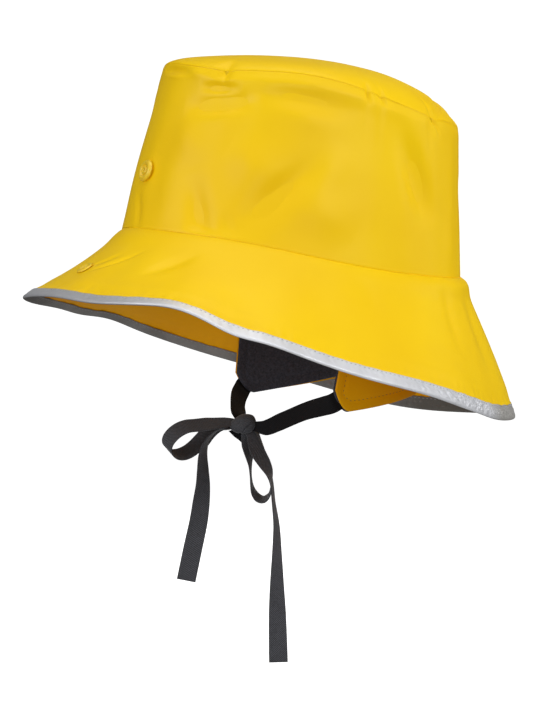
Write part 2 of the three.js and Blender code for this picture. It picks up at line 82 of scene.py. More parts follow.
# Broad dents: angle, height up the crown, width, height, lean in degrees, and depth
crown_dents = [
    (120, 0.55, 7, 0.3, -30, 2.2),
    (40, 0.1, 5, 0.16, -18, 1.2),
    (40, 0.8, 12, 0.06, 0, 1.1),
    (66, 0.3, 6, 0.25, 55, 0.9),
    (205, 0.5, 9, 0.3, 20, 1.6),
    (285, 0.35, 8, 0.25, 35, 1.4),
    (328, 0.75, 11, 0.08, 0, 1.0),
    (352, 0.35, 26, 0.36, 0, -1.5),
]
# Puckers that pull the band in: angle, width and depth
seam_puckers = [
    (38.5, 3.2, 1.5),
    (95, 1.6, 0.6),
    (101, 1.6, 0.6),
    (126, 2.4, 0.9),
    (163, 3.0, 1.2),
    (222, 2.6, 1.5),
    (268, 2.2, 1.3),
    (318, 3.0, 1.5),
]
# Soft creases, each from one place to another: angle, height up the crown, width and depth
crown_creases = [
    (22, 0.740, 56, 0.835, 4.4, 2.9),
    (52, 0.862, 92, 0.850, 5.0, 1.8),
    (28, 0.880, 48, 0.893, 2.6, 2.3),
    (31, 0.930, 46, 0.940, 1.4, -0.5),
    (37, 1.06, 41, 0.925, 3.4, 1.5),
    (-2, 0.957, 24, 0.962, 1.9, 1.4),
    (0, 0.925, 20, 0.918, 1.0, -0.35),
    (18, 0.967, 34, 0.955, 3.0, -0.9),
    (34, 0.36, 44.5, -0.10, 6.0, 1.9),
    (49, 0.16, 54, -0.02, 3.5, 0.6),
    (51, 0.00, 86, 0.62, 8.0, 2.4),
    (46, 0.54, 70, 0.34, 10.0, -2.1),
    (66, 0.34, 95, 0.18, 10.0, -2.1),
    (88, 0.66, 74, 0.30, 9.0, -1.5),
    (112, 0.86, 129, 0.30, 8.0, 2.0),
    (94.5, 1.05, 96, 0.92, 1.1, 1.3),
    (100.0, 1.05, 103, 0.94, 1.1, 1.2),
    (122, 1.15, 133, 0.88, 1.6, 1.5),
    (134, 0.60, 140, 0.15, 7.0, 0.8),
    (4, 0.24, 12, -0.02, 3.0, 1.0),
    (17, 0.10, 13, 0.60, 7.0, 0.5),
    (60, 0.80, 88, 0.70, 6.0, -0.8),
    (24, 0.70, 34, 0.40, 9.0, -1.4),
    (160, 0.70, 172, 0.25, 7.0, 1.1),
    (190, 0.85, 214, 0.55, 6.0, 1.0),
    (232, 0.60, 250, 0.20, 6.0, 1.0),
    (262, 0.80, 290, 0.60, 6.0, 0.9),
    (300, 0.40, 320, 0.08, 5.0, 1.0),
    (336, 0.60, 350, 0.78, 6.0, 0.7),
]
# Folds that cross the tip seam: angle and distance from the middle at each end, width and depth
tip_creases = [
    (38.0, 1.10, 39.5, 0.92, 5.6, 1.05),
    (94.5, 1.08, 95, 0.93, 1.4, 1.2),
    (100, 1.08, 101, 0.94, 1.4, 0.9),
    (106, 1.15, 178, 0.66, 1.7, 1.9),
    (140, 1.10, 166, 0.86, 2.2, 0.8),
    (163, 1.02, 165, 0.86, 2.4, 1.0),
    (222, 1.02, 219, 0.84, 2.2, 1.3),
    (268, 1.02, 270, 0.88, 1.8, 1.0),
    (318, 1.02, 315, 0.82, 2.6, 1.4),
]
# Millimetres to a degree round the hat, and to the whole way up the side or out from the tip's middle
crown_scale = (1.4, crown_tall)
tip_scale = (1.3, 70.0)
# How far down the seam allowance reaches, from where to where the band drops past it, and how far down the
# rest of it fades
band_tall = 5.6
band_step = (-0.6, 7.0)
band_fade = 34.0


def around(column, degrees):
    """The closed wave through a column of rows spaced evenly round the hat. Each row counts by
    sin(n g / 2) / (n tan(g / 2)), where g is the angle to it and n is how many rows there are."""
    rows = np.array(round_table[column])
    count = len(rows)
    gap = np.radians(np.asarray(degrees, float)[..., None] - np.arange(count) * 360.0 / count) + 1e-9
    return (rows * np.sin(count * gap / 2) / (count * np.tan(gap / 2))).sum(-1)


def apart(degrees, other):
    """The signed angle from one direction to another, the short way round."""
    return (degrees - other + 180.0) % 360.0 - 180.0


def bump(distance, width):
    """1 in the middle, falling as a bell to almost nothing at two and a half widths."""
    return np.exp(-((distance / width) ** 2))


def smooth(value, low, high):
    """0 below low and 1 above high, with an even S between them."""
    t = np.clip((value - low) / (high - low), 0.0, 1.0)
    return t * t * (3.0 - 2.0 * t)


def quarter_round(distance, radius):
    """A rounded edge as a quarter circle: 0 at the edge, and 1 from the radius inwards."""
    return np.sqrt(1.0 - np.clip(1.0 - distance / radius, 0.0, 1.0) ** 2)


def creases(degrees, up, table, scale):
    """How far a cloth sinks along soft creases. Each is a bell across the straight line between its two
    ends, and fades out towards them a little faster than a sine."""
    round_mm, tall_mm = scale
    sunk = np.zeros(np.broadcast(degrees, up).shape)
    for at, low, to, high, wide, deep in table:
        across = apart(degrees, at) * round_mm
        rise = (up - low) * tall_mm
        run = np.array([apart(to, at) * round_mm, (high - low) * tall_mm])
        long = np.hypot(*run)
        place = (across * run[0] + rise * run[1]) / long**2
        off = (across * run[1] - rise * run[0]) / long
        sunk = sunk + deep * bump(off, wide) * np.sin(np.pi * np.clip(place, 0.0, 1.0)) ** 1.3
    return sunk


def ripples(degrees, up, seed, waves, shortest, longest):
    """A fixed low ripple over the cloth: the mean of sine waves in seeded directions and lengths."""
    draw = np.random.default_rng(seed)
    total = 0.0
    for _ in range(waves):
        around_count = draw.integers(int(360 / longest), int(360 / shortest) + 1)
        up_count = draw.uniform(-1.0, 1.0) * 4.0
        phase = draw.uniform(0.0, 2.0 * np.pi)
        total = total + np.sin(np.radians(degrees) * around_count + up * up_count + phase)
    return total / np.sqrt(waves)


def oval(half, degrees, z):
    """The point of a level oval at an angle from the front towards the wearer's left."""
    angle = np.radians(degrees)
    x, y, z = np.broadcast_arrays(half[0] * np.sin(angle), -half[1] * np.cos(angle), z)
    return np.stack([x, y, z], -1)


def oval_out(half, degrees):
    """The level direction out of an oval at an angle."""
    angle = np.radians(degrees)
    x, y = np.sin(angle) / half[0], -np.cos(angle) / half[1]
    long = np.hypot(x, y)
    return np.stack([x / long, y / long, np.zeros_like(x)], -1)


def band_height(degrees):
    """How far the seam allowance stands out below the tip seam, less the puckers."""
    high = around("band", degrees)
    for at, wide, deep in seam_puckers:
        high = high - deep * bump(apart(degrees, at), wide)
    return high


def band_shape(degrees, below, edge=band_tall):
    """How much of that height the side has at a distance below the tip seam: it swells from its share at
    the seam as far as the seam allowance reaches, drops a little there, and then falls back slowly."""
    corner = around("corner", degrees)
    swell = corner + (1.0 - corner) * smooth(below, -1.0, edge)
    drop = around("drop", degrees)
    step = smooth(below, edge + band_step[0], edge + band_step[1])
    fade = smooth(below, edge, edge + band_fade)
    return swell * (1.0 - drop * step - (1.0 - drop) * fade)


def crown_point(degrees, up, depth=0.0, finished=False):
    """The crown's side at an angle, up from 0 at the brim to 1 at the tip, inside its face by depth. It is
    the straight line between the two seams, moved outwards by the band and inwards by dents. The finished
    face has creases and ripples too, rounded edges, and is tucked in at both seams."""
    low = oval(head_half, degrees, around("seam", degrees))
    high = oval(tip_half, degrees, crown_tall + around("rim", degrees))
    up = np.asarray(up, float)
    point = low + (high - low) * up[..., None]
    out = np.zeros(np.broadcast(degrees, up).shape)
    for at, middle, wide, tall, lean, deep in crown_dents:
        out = out - deep * bump(apart(degrees, at + lean * (up - middle)), wide) * bump(up - middle, tall)
    below = (1.0 - up) * crown_tall
    edge = band_tall
    if finished:
        edge = edge + 0.3 * ripples(degrees, 0.0, seed=5, waves=6, shortest=8, longest=40)
        out = out - creases(degrees, up, crown_creases, crown_scale)
        out = np.where(out < 0.0, out * smooth(up, 0.0, 0.055), out)
    out = out + band_shape(degrees, below, edge) * band_height(degrees)
    if finished:
        middle = smooth(up, 0.0, 0.12) * (1.0 - smooth(up, 0.88, 1.0))
        out = out + 0.12 * middle * ripples(degrees, up, seed=11, waves=14, shortest=14, longest=60)
        out = out - 0.3 * (1.0 - quarter_round(below, 0.7))
        out = out - 0.06 * (1.0 - quarter_round(up * crown_tall, 0.5))
        point[..., 2] -= 0.36 * (1.0 - smooth(up, 0.0, 0.015))
        point[..., 2] -= creases(degrees, 1.0, tip_creases, tip_scale) * smooth(up, 0.93, 1.0)
    return point + oval_out(head_half, degrees) * (out - depth)[..., None]


def hat_place(points):
    """From the hat's own directions to the part's frame: tipped back by the front's rise, in metres."""
    c, s = np.cos(front_raised), np.sin(front_raised)
    x, y, z = np.moveaxis(points, -1, 0)
    return np.stack([x, y * c + z * s, z * c - y * s], -1) * 0.001


def add_mesh(name, spots, faces, finish):
    """Puts a smooth mesh of points and faces into the scene, with one material."""
    mesh = bpy.data.meshes.new(name)
    mesh.from_pydata(spots.tolist(), [], faces)
    mesh.shade_smooth()
    mesh.materials.append(finish)
    piece = bpy.data.objects.new(name, mesh)
    bpy.context.scene.collection.objects.link(piece)
    return piece


def corners(grid):
    """The four corners of each cell of a grid, in the order round the cell."""
    return [grid[:-1, :-1], grid[1:, :-1], grid[1:, 1:], grid[:-1, 1:]]


def grid_piece(name, points, finish, ends="loop", sizes=(1.0, 1.0)):
    """Makes a closed mesh of a grid of points: one face between each four neighbours. Every row is a closed
    outline. Rows close on the first one as a loop, or end in a fan about the end row's middle, or in a
    strip between the two halves of a thin row. The mesh is turned so that its volume is positive. Its map
    runs along the rows and across them, in metres for the given sizes."""
    rows, across = points.shape[:2]
    spots = points.reshape(-1, 3)
    index = np.arange(rows * across).reshape(rows, across)
    index = np.hstack([index, index[:, :1]])
    if ends == "loop":
        index = np.vstack([index, index[:1]])
    faces = np.stack(corners(index), -1).reshape(-1, 4)
    along, over = (np.linspace(0.0, size, steps) for size, steps in zip(sizes, index.shape))
    chart = np.stack(np.meshgrid(along, over, indexing="ij"), -1)
    chart = np.stack(corners(chart), -2).reshape(-1, 4, 2)
    a, b, c, d = (spots[faces[:, k]] for k in range(4))
    volume = (a * np.cross(b, c)).sum() + (a * np.cross(c, d)).sum()
    caps = np.zeros((0, 4), int)
    if ends == "strip":
        j = np.arange(across // 2 - 1)
        k = across - 1 - j
        first = np.stack([j, j + 1, k - 1, k], -1)
        caps = np.vstack([first, (first + (rows - 1) * across)[:, ::-1]])
    if ends == "fan":
        j = np.arange(across)
        k = (j + 1) % across
        middle = rows * across
        last = (rows - 1) * across
        spots = np.vstack([spots, points[0].mean(0), points[-1].mean(0)])
        caps = np.vstack(
            [np.stack([0 * j + middle, j, k], -1), np.stack([0 * j + middle + 1, k + last, j + last], -1)]
        )
    if volume < 0:
        faces, chart, caps = faces[:, ::-1], chart[:, ::-1], caps[:, ::-1]
    piece = add_mesh(name, spots, faces.tolist() + caps.tolist(), finish)
    flat = np.vstack([chart.reshape(-1, 2), np.zeros((caps.size, 2))])
    piece.data.uv_layers.new(name="cloth").data.foreach_set("uv", flat.ravel())
    return piece


def new_finish(name, rough, **sockets):
    """A material with one Principled shader, its plain sockets set, and the means to add nodes to it."""
    finish = bpy.data.materials.new(name)
    finish.use_nodes = True
    tree = finish.node_tree
    shader = tree.nodes["Principled BSDF"]
    shader.inputs["Roughness"].default_value = rough
    for socket, value in sockets.items():
        shader.inputs[socket.replace("_", " ")].default_value = value
    return finish, tree, shader


def add_node(tree, kind, inputs=None, **settings):
    """Adds a node, with its settings and with its inputs set to numbers or linked from other sockets."""
    node = tree.nodes.new(kind)
    for setting, value in settings.items():
        setattr(node, setting, value)
    for socket, value in (inputs or {}).items():
        if isinstance(value, bpy.types.NodeSocket):
            tree.links.new(value, node.inputs[socket])
        else:
            node.inputs[socket].default_value = value
    return node


def on_piece(tree):
    """The place on the piece, in metres."""
    return add_node(tree, "ShaderNodeTexCoord").outputs["Object"]


def noise(tree, where, scale, detail=2.0, rough=0.5):
    """A noise pattern with that many features to the metre."""
    inputs = {"Vector": where, "Scale": scale, "Detail": detail, "Roughness": rough}
    return add_node(tree, "ShaderNodeTexNoise", inputs).outputs["Fac"]


def combine(tree, operation, first, second):
    """Adds or multiplies two values."""
    return add_node(tree, "ShaderNodeMath", {0: first, 1: second}, operation=operation).outputs[0]


def blend_colour(tree, factor, first, second):
    """Mixes two colours by a factor. The node's colours are its inputs 6 and 7, and its output 2."""
    first, second = ((*part, 1.0) if isinstance(part, tuple) else part for part in (first, second))
    return add_node(tree, "ShaderNodeMix", {0: factor, 6: first, 7: second}, data_type="RGBA").outputs[2]


def remap(tree, value, low, high, to_low, to_high):
    """Stretches a value from one range to another, and keeps it inside."""
    inputs = {"Value": value, "From Min": low, "From Max": high, "To Min": to_low, "To Max": to_high}
    return add_node(tree, "ShaderNodeMapRange", inputs).outputs["Result"]


def relief(tree, shader, layers):
    """Raises the surface by a chain of patterns, each with its height in metres, and gives the result to
    the shader."""
    normal = None
    for height, distance in layers:
        inputs = {"Height": height, "Distance": distance, "Strength": 1.0}
        if normal is not None:
            inputs["Normal"] = normal
        normal = add_node(tree, "ShaderNodeBump", inputs).outputs["Normal"]
    tree.links.new(normal, shader.inputs["Normal"])


def coated_cloth(name, colour, deep_colour, gloss):
    """The yellow coating: satin, a little uneven in gloss and colour, over the grain of a knitted back and
    low soft wrinkles."""
    finish, tree, shader = new_finish(name, 0.4, Specular_IOR_Level=gloss)
    where = on_piece(tree)
    patches = noise(tree, where, 16.0, 2.0, 0.5)
    cloudy = noise(tree, where, 60.0, 2.0)
    tint = blend_colour(tree, remap(tree, patches, 0.35, 0.68, 0.0, 1.0), colour, deep_colour)
    tint = blend_colour(tree, remap(tree, cloudy, 0.62, 0.8, 0.0, 0.2), tint, colour)
    tree.links.new(tint, shader.inputs["Base Color"])
    tree.links.new(remap(tree, patches, 0.3, 0.7, 0.37, 0.46), shader.inputs["Roughness"])
    grain = noise(tree, where, 2600.0, 2.0, 0.6)
    inputs = {"Vector": where, "Scale": 1100.0, "Randomness": 0.7}
    knit = add_node(tree, "ShaderNodeTexVoronoi", inputs, feature="SMOOTH_F1").outputs["Distance"]
    soft = noise(tree, where, 70.0, 2.0, 0.4)
    broad = noise(tree, where, 26.0, 1.0, 0.4)
    relief(tree, shader, [(grain, 0.00002), (knit, 0.00002), (soft, 0.00016), (broad, 0.0007)])
    return finish


coated = coated_cloth("coated_cloth", (0.91, 0.595, 0.001), (0.86, 0.54, 0.000), 0.22)


def turn_steps(count):
    """Evenly spaced angles all round, in degrees, without the last one."""
    return np.arange(int(count * fine)) * 360.0 / int(count * fine)


def steps_through(ends, counts):
    """Evenly spaced values between each two ends, as many as the counts say, each end once."""
    parts = [np.linspace(low, high, count)[:-1] for low, high, count in zip(ends, ends[1:], counts)]
    return np.concatenate([*parts, ends[-1:]])


degrees = turn_steps(720)[:, None]
outer_up = steps_through([0.0, 0.02, 0.9, 0.985, 1.0], [6, 62, 26, 9])
inner_up = np.linspace(0.995, 0.005, 14)
outside = crown_point(degrees, outer_up[None], finished=True)
inside = crown_point(degrees, inner_up[None], shell_cloth)
crown_side = grid_piece("crown_wall", hat_place(np.concatenate([outside, inside], 1)), coated)
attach(crown_side, "root")
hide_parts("crown_side")

# The crown's tip
# An oval panel of the same cloth, sewn in at the top. It is a little bigger than flat, so it domes, and it
# gathers where the seam puckers.
# Its height, how sharply it turns down to the seam, and its flatness and fullness at each end
tip_dome = {"height": 17.2, "turn": 6.0, "front": (1.4, 0.57), "back": (2.2, 0.85)}


def tip_point(degrees, r, depth=0.0, finished=False):
    """The tip panel at a fraction r of the way from its middle to the seam. Its height falls as
    (1 - r^flatness)^fullness, and close to the seam it turns down to it as r^turn."""
    back = (1.0 - np.cos(np.radians(degrees))) / 2.0
    flatness = tip_dome["front"][0] + back * (tip_dome["back"][0] - tip_dome["front"][0])
    fullness = tip_dome["front"][1] + back * (tip_dome["back"][1] - tip_dome["front"][1])
    inward = r * (1.0 - depth / tip_half[0])
    point = oval(tip_half, degrees, 0.0) * inward[..., None]
    rise = tip_dome["height"] * (1.0 - r**flatness) ** fullness
    lift = around("rim", degrees) * r ** tip_dome["turn"] + crown_tall + seam_gap + rise - depth * (r < 1)
    near_seam = r**12
    edge = near_seam * band_shape(degrees, 0.0) * band_height(degrees)
    if finished:
        uneven = ripples(degrees, r, seed=21, waves=10, shortest=30, longest=90)
        lift = lift - creases(degrees, r, tip_creases, tip_scale) * smooth(r, 0.6, 0.9)
        lift = lift + 0.35 * smooth(r, 0.3, 0.75) * (1.0 - r) * uneven
        lift = lift - 0.27 * smooth(r, 0.9, 1.0)
        edge = edge - near_seam * creases(degrees, 1.0, crown_creases, crown_scale)
        edge = edge - 0.2 * (1.0 - quarter_round(1.0 - r, 0.01))
    point = point + oval_out(tip_half, degrees) * edge[..., None]
    point[..., 2] = lift
    return point


tip_degrees = turn_steps(560)[None]
top_r = np.sin(np.linspace(0.02, 1.0, 110) * np.pi / 2)[:, None]
under_r = np.sin(np.linspace(1.0, 0.02, 24) * np.pi / 2)[:, None]
top = tip_point(tip_degrees, top_r, finished=True)
under = tip_point(tip_degrees, under_r * 0.992, shell_cloth)
crown_tip = grid_piece("crown_top", hat_place(np.concatenate([top, under])), coated, "fan")
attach(crown_tip, "root")
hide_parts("crown_tip")

# The brim
# Two layers of the coated cloth, flared and cut longer at the back to shed water behind the neck. It waves
# along its edge and has soft folds that run out from the seam.
brim_cloth = 1.8
# Waves along the edge: angle, width and rise
edge_waves = [
    (26, 9, -1.6),
    (47, 8, 2.3),
    (61, 6, -2.0),
    (122, 9, -0.6),
    (298, 7, 1.3),
    (309, 6, -0.9),
    (343, 14, 1.5),
]
# Where the edge turns down at the front: angle, width and how far down, and the stretch of cloth that turns
front_lip = (343, 19, 1.9)
lip_reach = (-7.0, 1.0)
# Folds from one place to another: angle and fraction of the brim's length, width and depth
brim_creases = [
    (11, 0.62, 26, 0.25, 1.3, 0.9),
    (8, 0.54, 18, 0.32, 1.8, 0.7),
    (31, 0.60, 46, 0.18, 4.0, 1.1),
    (52, 0.30, 64, 0.75, 8.0, 0.5),
    (96, 0.02, 101, 0.50, 6.0, 0.7),
    (134, 0.02, 131, 0.60, 5.0, 1.0),
    (150, 0.05, 152, 0.70, 7.0, 1.0),
    (196, 0.05, 201, 0.65, 7.0, 1.2),
    (228, 0.60, 234, 0.05, 6.0, 1.0),
    (262, 0.05, 258, 0.50, 6.0, 0.8),
    (292, 0.30, 300, 0.80, 7.0, 0.8),
    (338, 0.15, 330, 0.60, 5.0, 0.8),
]
brim_scale = (1.75, 70.0)


def brim_frame(degrees, distance):
    """Where the brim's upper face is at a distance from the seam, and its upward normal. The brim runs down
    an arc that turns by twice its curl over the whole length, its edge waves grow as the square, and its
    lip turns down at the front."""
    length = around("brim", degrees)
    along = distance / length
    wave = sum(rise * bump(apart(degrees, at), wide) for at, wide, rise in edge_waves)
    curl = np.radians(around("curl", degrees))
    start = np.radians(around("slope", degrees)) + curl
    half = curl * along
    straight = distance * np.sinc(half / np.pi)
    out = oval_out(head_half, degrees)
    point = oval(head_half, degrees, around("seam", degrees))
    point = point + out * (straight * np.cos(start - half))[..., None]
    point[..., 2] += wave * along**2 - straight * np.sin(start - half) - seam_gap
    at, wide, down = front_lip
    point[..., 2] -= bump(apart(degrees, at), wide) * down * smooth(distance - length, *lip_reach)
    fall = start - 2.0 * half
    normal = out * np.sin(fall)[..., None]
    normal[..., 2] = np.cos(fall)
    return point, normal


def brim_point(degrees, distance, depth, finished=False):
    """A point of the brim at a distance from the seam, below its upper face by depth. The finished cloth
    has folds, swells over the seam, and is gathered a little along the tape."""
    degrees, distance = np.broadcast_arrays(degrees, distance)
    point, normal = brim_frame(degrees, distance)
    sunk = depth
    if finished:
        length = around("brim", degrees)
        along = distance / length
        uneven = ripples(degrees, along, seed=31, waves=12, shortest=14, longest=60)
        gathered = ripples(degrees, 0.0, seed=37, waves=10, shortest=2.4, longest=9)
        sunk = sunk + creases(degrees, along, brim_creases, brim_scale) * (1.0 - smooth(along, 0.82, 0.95))
        sunk = sunk - around("puff", degrees) * bump(distance - 5.0, 5.5) * smooth(distance, -1.5, 2.5)
        sunk = sunk + 0.14 * smooth(along, 0.1, 0.4) * uneven
        sunk = sunk + 0.10 * bump(length - distance - 8.5, 5.0) * gathered
    return point + normal * (-sunk)[..., None]


binding_width = 7.3
binding_fold = 1.3
# The tape presses the cloth in by this much on each face, over this stretch in from the fold
tape_press = 0.45
press_reach = (-16.0, -8.0)
top_rows, under_rows = 84, 40
brim_degrees = turn_steps(720)[:, None]
reach = around("brim", brim_degrees) - binding_fold
across_top = np.linspace(0.0, 1.0, top_rows)[None]
across_under = np.linspace(1.0, 0.0, under_rows)[None]
pressed_top, pressed_under = (
    tape_press * smooth(reach * across - reach, *press_reach) for across in (across_top, across_under)
)
rolled = -0.12 * (1.0 - smooth(across_top, 0.0, 0.03))
upper = brim_point(brim_degrees, reach * across_top, pressed_top + rolled, finished=True)
lower = brim_point(brim_degrees, reach * across_under, brim_cloth - pressed_under, finished=True)
brim = grid_piece("brim_shell", hat_place(np.concatenate([upper, lower], 1)), coated)
# Painted light: the underside takes a brighter, more orange copy of the coating, for light shining through
# the cloth.
# The cloth itself is the same yellow on both faces.
underside = coated_cloth("coated_cloth_underside_painted_light", (1.0, 0.46, 0.000), (0.94, 0.40, 0.000), 0.12)
brim.data.materials.append(underside)
under_faces = np.tile(np.arange(top_rows + under_rows) >= top_rows - 1, len(brim_degrees))
brim.data.polygons.foreach_set("material_index", under_faces.astype(int))
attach(brim, "root")
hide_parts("brim")

# The binding
# A silver-grey reflective tape of glass beads on woven cloth, folded over the brim's edge and sewn through
# with one row of grey thread. It puckers a little between the stitches and crumples towards the back.
tape_half = 0.95
tape_thick = 0.32
tape_taper = 0.14
# How far the fold stands outside the brim's edge, and how thick the tape is there
fold_outside = 0.3
fold_thick = 0.5


def tape_share(degrees):
    """How wide the tape shows as a share of its mean width: a little narrower in front than behind."""
    return 1.0 - tape_taper * np.cos(np.radians(degrees))


def binding_outline(count):
    """The tape's closed outline as distance in from the brim's edge, and depth below the brim's face: along
    the top, round the fold on half an ellipse, back along the underside, and home along the inner skin."""
    bend = np.linspace(0.0, np.pi, count)
    middle = brim_cloth / 2.0
    flat_in = np.linspace(binding_width, binding_fold, count)[:-1]

    def skin(high, out):
        """One side of the tape, this high from the middle of the brim and this far round the fold."""
        inward = np.concatenate([flat_in, binding_fold - out * np.sin(bend), flat_in[::-1]])
        depth = np.concatenate([0 * flat_in - high, -high * np.cos(bend), 0 * flat_in + high])
        return inward, middle + depth

    outer = skin(tape_half, binding_fold)
    inner = skin(tape_half - tape_thick, binding_fold - fold_thick)
    return [np.concatenate([a, b[::-1]]) for a, b in zip(outer, inner)]


def tape_crumple(degrees, inward):
    """Fine puckers between the stitches, and sharper slanting creases behind the ear on each side."""
    puckers = ripples(degrees, inward * 0.25, seed=41, waves=12, shortest=1.6, longest=6)
    slanted = ripples(degrees, inward * 0.55, seed=43, waves=8, shortest=3.0, longest=12)
    behind_ear = bump(np.abs(apart(degrees, 0.0)) - 132.0, 24.0)
    return 0.06 * puckers + (0.07 + 0.75 * behind_ear) * np.abs(slanted)


tape_degrees = turn_steps(1500)[:, None]
inward, depth = binding_outline(11)
edge_wander = 0.18 * ripples(tape_degrees, 0.0, seed=45, waves=12, shortest=4.0, longest=30)
inward = inward[None] * tape_share(tape_degrees) + edge_wander * smooth(inward[None], 4.0, 8.0)
outer_side = np.sign(depth - brim_cloth / 2.0)[None]
between_edges = smooth(inward, 0.4, 3.0) * (1.0 - 0.85 * smooth(inward, 4.8, 6.6))
tape_depth = depth[None] + outer_side * tape_crumple(tape_degrees, inward) * between_edges
tape_points = brim_point(tape_degrees, around("brim", tape_degrees) + fold_outside - inward, tape_depth)


def reflective_tape(name, colour, dull_colour, metal):
    """Woven tape under a layer of glass beads, a little soiled. Its front end is painted duller and its back
    end
    darker and browner: painted shade where those ends turn from the light. It is creased like foil between
    the ears and the back."""
    finish, tree, shader = new_finish(name, 0.4, Metallic=metal, IOR=1.5)
    where = on_piece(tree)
    grime = noise(tree, where, 55.0, 3.0)
    beads = add_node(tree, "ShaderNodeTexVoronoi", {"Vector": where, "Scale": 2600.0}).outputs["Distance"]
    tint = blend_colour(tree, remap(tree, grime, 0.35, 0.7, 0.0, 1.0), colour, dull_colour)
    behind = add_node(tree, "ShaderNodeSeparateXYZ", {"Vector": where}).outputs["Y"]
    # Painted shade: darker towards the front end, and darker and browner towards the back end.
    front_painted_shade = remap(tree, behind, -0.085, -0.125, 0.0, 0.6)
    back_painted_shade = remap(tree, behind, 0.082, 0.096, 0.0, 0.8)
    for end_shade, shade_scale in ((front_painted_shade, (0.42, 0.42, 0.42)), (back_painted_shade, (0.57, 0.5358, 0.456))):
        tint = blend_colour(tree, end_shade, tint, tuple(a * b for a, b in zip(dull_colour, shade_scale)))
    tree.links.new(tint, shader.inputs["Base Color"])
    tree.links.new(remap(tree, grime, 0.3, 0.7, 0.34, 0.5), shader.inputs["Roughness"])
    crinkle = noise(tree, where, 260.0, 2.0, 0.5)
    inputs = {"Vector": where, "Scale": 100.0}
    cells = add_node(tree, "ShaderNodeTexVoronoi", inputs, feature="DISTANCE_TO_EDGE").outputs["Distance"]
    foil = remap(tree, cells, 0.0, 0.22, 0.0, 1.0)
    foil = combine(tree, "MULTIPLY", foil, remap(tree, behind, 0.01, 0.05, 0.12, 1.0))
    foil = combine(tree, "MULTIPLY", foil, remap(tree, behind, 0.084, 0.094, 1.0, 0.15))
    relief(tree, shader, [(beads, 0.00003), (crinkle, 0.0001), (foil, 0.00026)])
    return finish


tape_finish = reflective_tape("reflective_tape", (0.79, 0.80, 0.84), (0.66, 0.67, 0.70), 0.35)
# Painted shade: the tape's under half takes a much darker, less metallic copy of the same tape.
tape_painted_shade_finish = reflective_tape("reflective_tape_underside_painted_shade", (0.27, 0.26, 0.25), (0.18, 0.17, 0.16), 0.1)
brim_binding = grid_piece("brim_tape", hat_place(tape_points), tape_finish)
brim_binding.data.materials.append(tape_painted_shade_finish)
in_shade = np.tile(depth > brim_cloth / 2.0 + 0.1, len(tape_degrees))
brim_binding.data.polygons.foreach_set("material_index", in_shade.astype(int))
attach(brim_binding, "root")
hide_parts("brim_binding")


def stitch_row(name, points, normals, pitch, long, thick, finish):
    """A row of stitches along a path: short rounded threads with a gap between them. One thread is a closed
    six-sided spindle, and it is copied to each place along the path as whole arrays."""
    steps = np.linalg.norm(np.diff(points, axis=0), axis=1)
    along = np.concatenate([[0.0], np.cumsum(steps)])
    count = int(along[-1] / pitch)
    centres = (np.arange(count) + 0.5) * along[-1] / count

    def sample(values, at):
        """The values at distances along the path."""
        return np.stack([np.interp(at, along, values[:, k]) for k in range(3)], -1)

    middle = sample(points, centres)
    ahead = sample(points, centres + 0.3 * pitch) - sample(points, centres - 0.3 * pitch)
    ahead /= np.linalg.norm(ahead, axis=1, keepdims=True)
    up = sample(normals, centres)
    up -= ahead * (up * ahead).sum(1, keepdims=True)
    up /= np.linalg.norm(up, axis=1, keepdims=True)
    side = np.cross(up, ahead)
    rings, sides = 7, 6
    place = np.linspace(-1.0, 1.0, rings)
    girth = np.sqrt(1.0 - (0.97 * place) ** 2)
    turn = np.arange(sides) * 2.0 * np.pi / sides
    spindle = np.stack(
        [
            np.repeat(place[:, None] * long / 2, sides, 1),
            girth[:, None] * np.cos(turn) * thick / 2,
            girth[:, None] * np.sin(turn) * thick / 2 - (place[:, None] ** 2) * thick * 0.45,
        ],
        -1,
    ).reshape(-1, 3)
    axes = np.stack([ahead, side, up], 1)
    threads = middle[:, None] + np.einsum("pk,nkc->npc", spindle, axes)
    index = np.arange(rings * sides).reshape(rings, sides)
    ends = np.stack([index[0, ::-1], index[-1]])
    quads = np.stack(corners(np.hstack([index, index[:, :1]]).T), -1).reshape(-1, 4)
    first = rings * sides * np.arange(count)[:, None, None]
    faces = (quads + first).reshape(-1, 4).tolist() + (ends + first).reshape(-1, sides).tolist()
    piece = add_mesh(name, threads.reshape(-1, 3), faces, finish)
    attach(piece, "root")


def thread_finish(name, colour, rough=0.6):
    """Twisted sewing thread."""
    finish, tree, shader = new_finish(name, rough, Sheen_Weight=0.2)
    where = on_piece(tree)
    fibres = noise(tree, where, 3000.0, 1.0)
    darker = tuple(0.7 * part for part in colour)
    tree.links.new(blend_colour(tree, fibres, colour, darker), shader.inputs["Base Color"])
    relief(tree, shader, [(fibres, 0.00005)])
    return finish


tape_thread = thread_finish("grey_thread", (0.42, 0.43, 0.46))
path_degrees = np.linspace(0.0, 360.0, 2400)
# The row runs this far outside the tape's sewn edge
stitch_margin = 1.3
path_out = around("brim", path_degrees) - binding_width * tape_share(path_degrees) + stitch_margin
for side_name, path_depth in (("upper", brim_cloth / 2 - tape_half), ("under", brim_cloth / 2 + tape_half)):
    path = brim_point(path_degrees, path_out, np.full_like(path_out, path_depth))
    facing = brim_frame(path_degrees, path_out)[1] * np.sign(brim_cloth / 2 - path_depth)
    stitch_row(
        f"tape_stitches_{side_name}", hat_place(path), hat_place(facing),
        pitch=0.0025, long=0.0017, thick=0.0004, finish=tape_thread,
    )

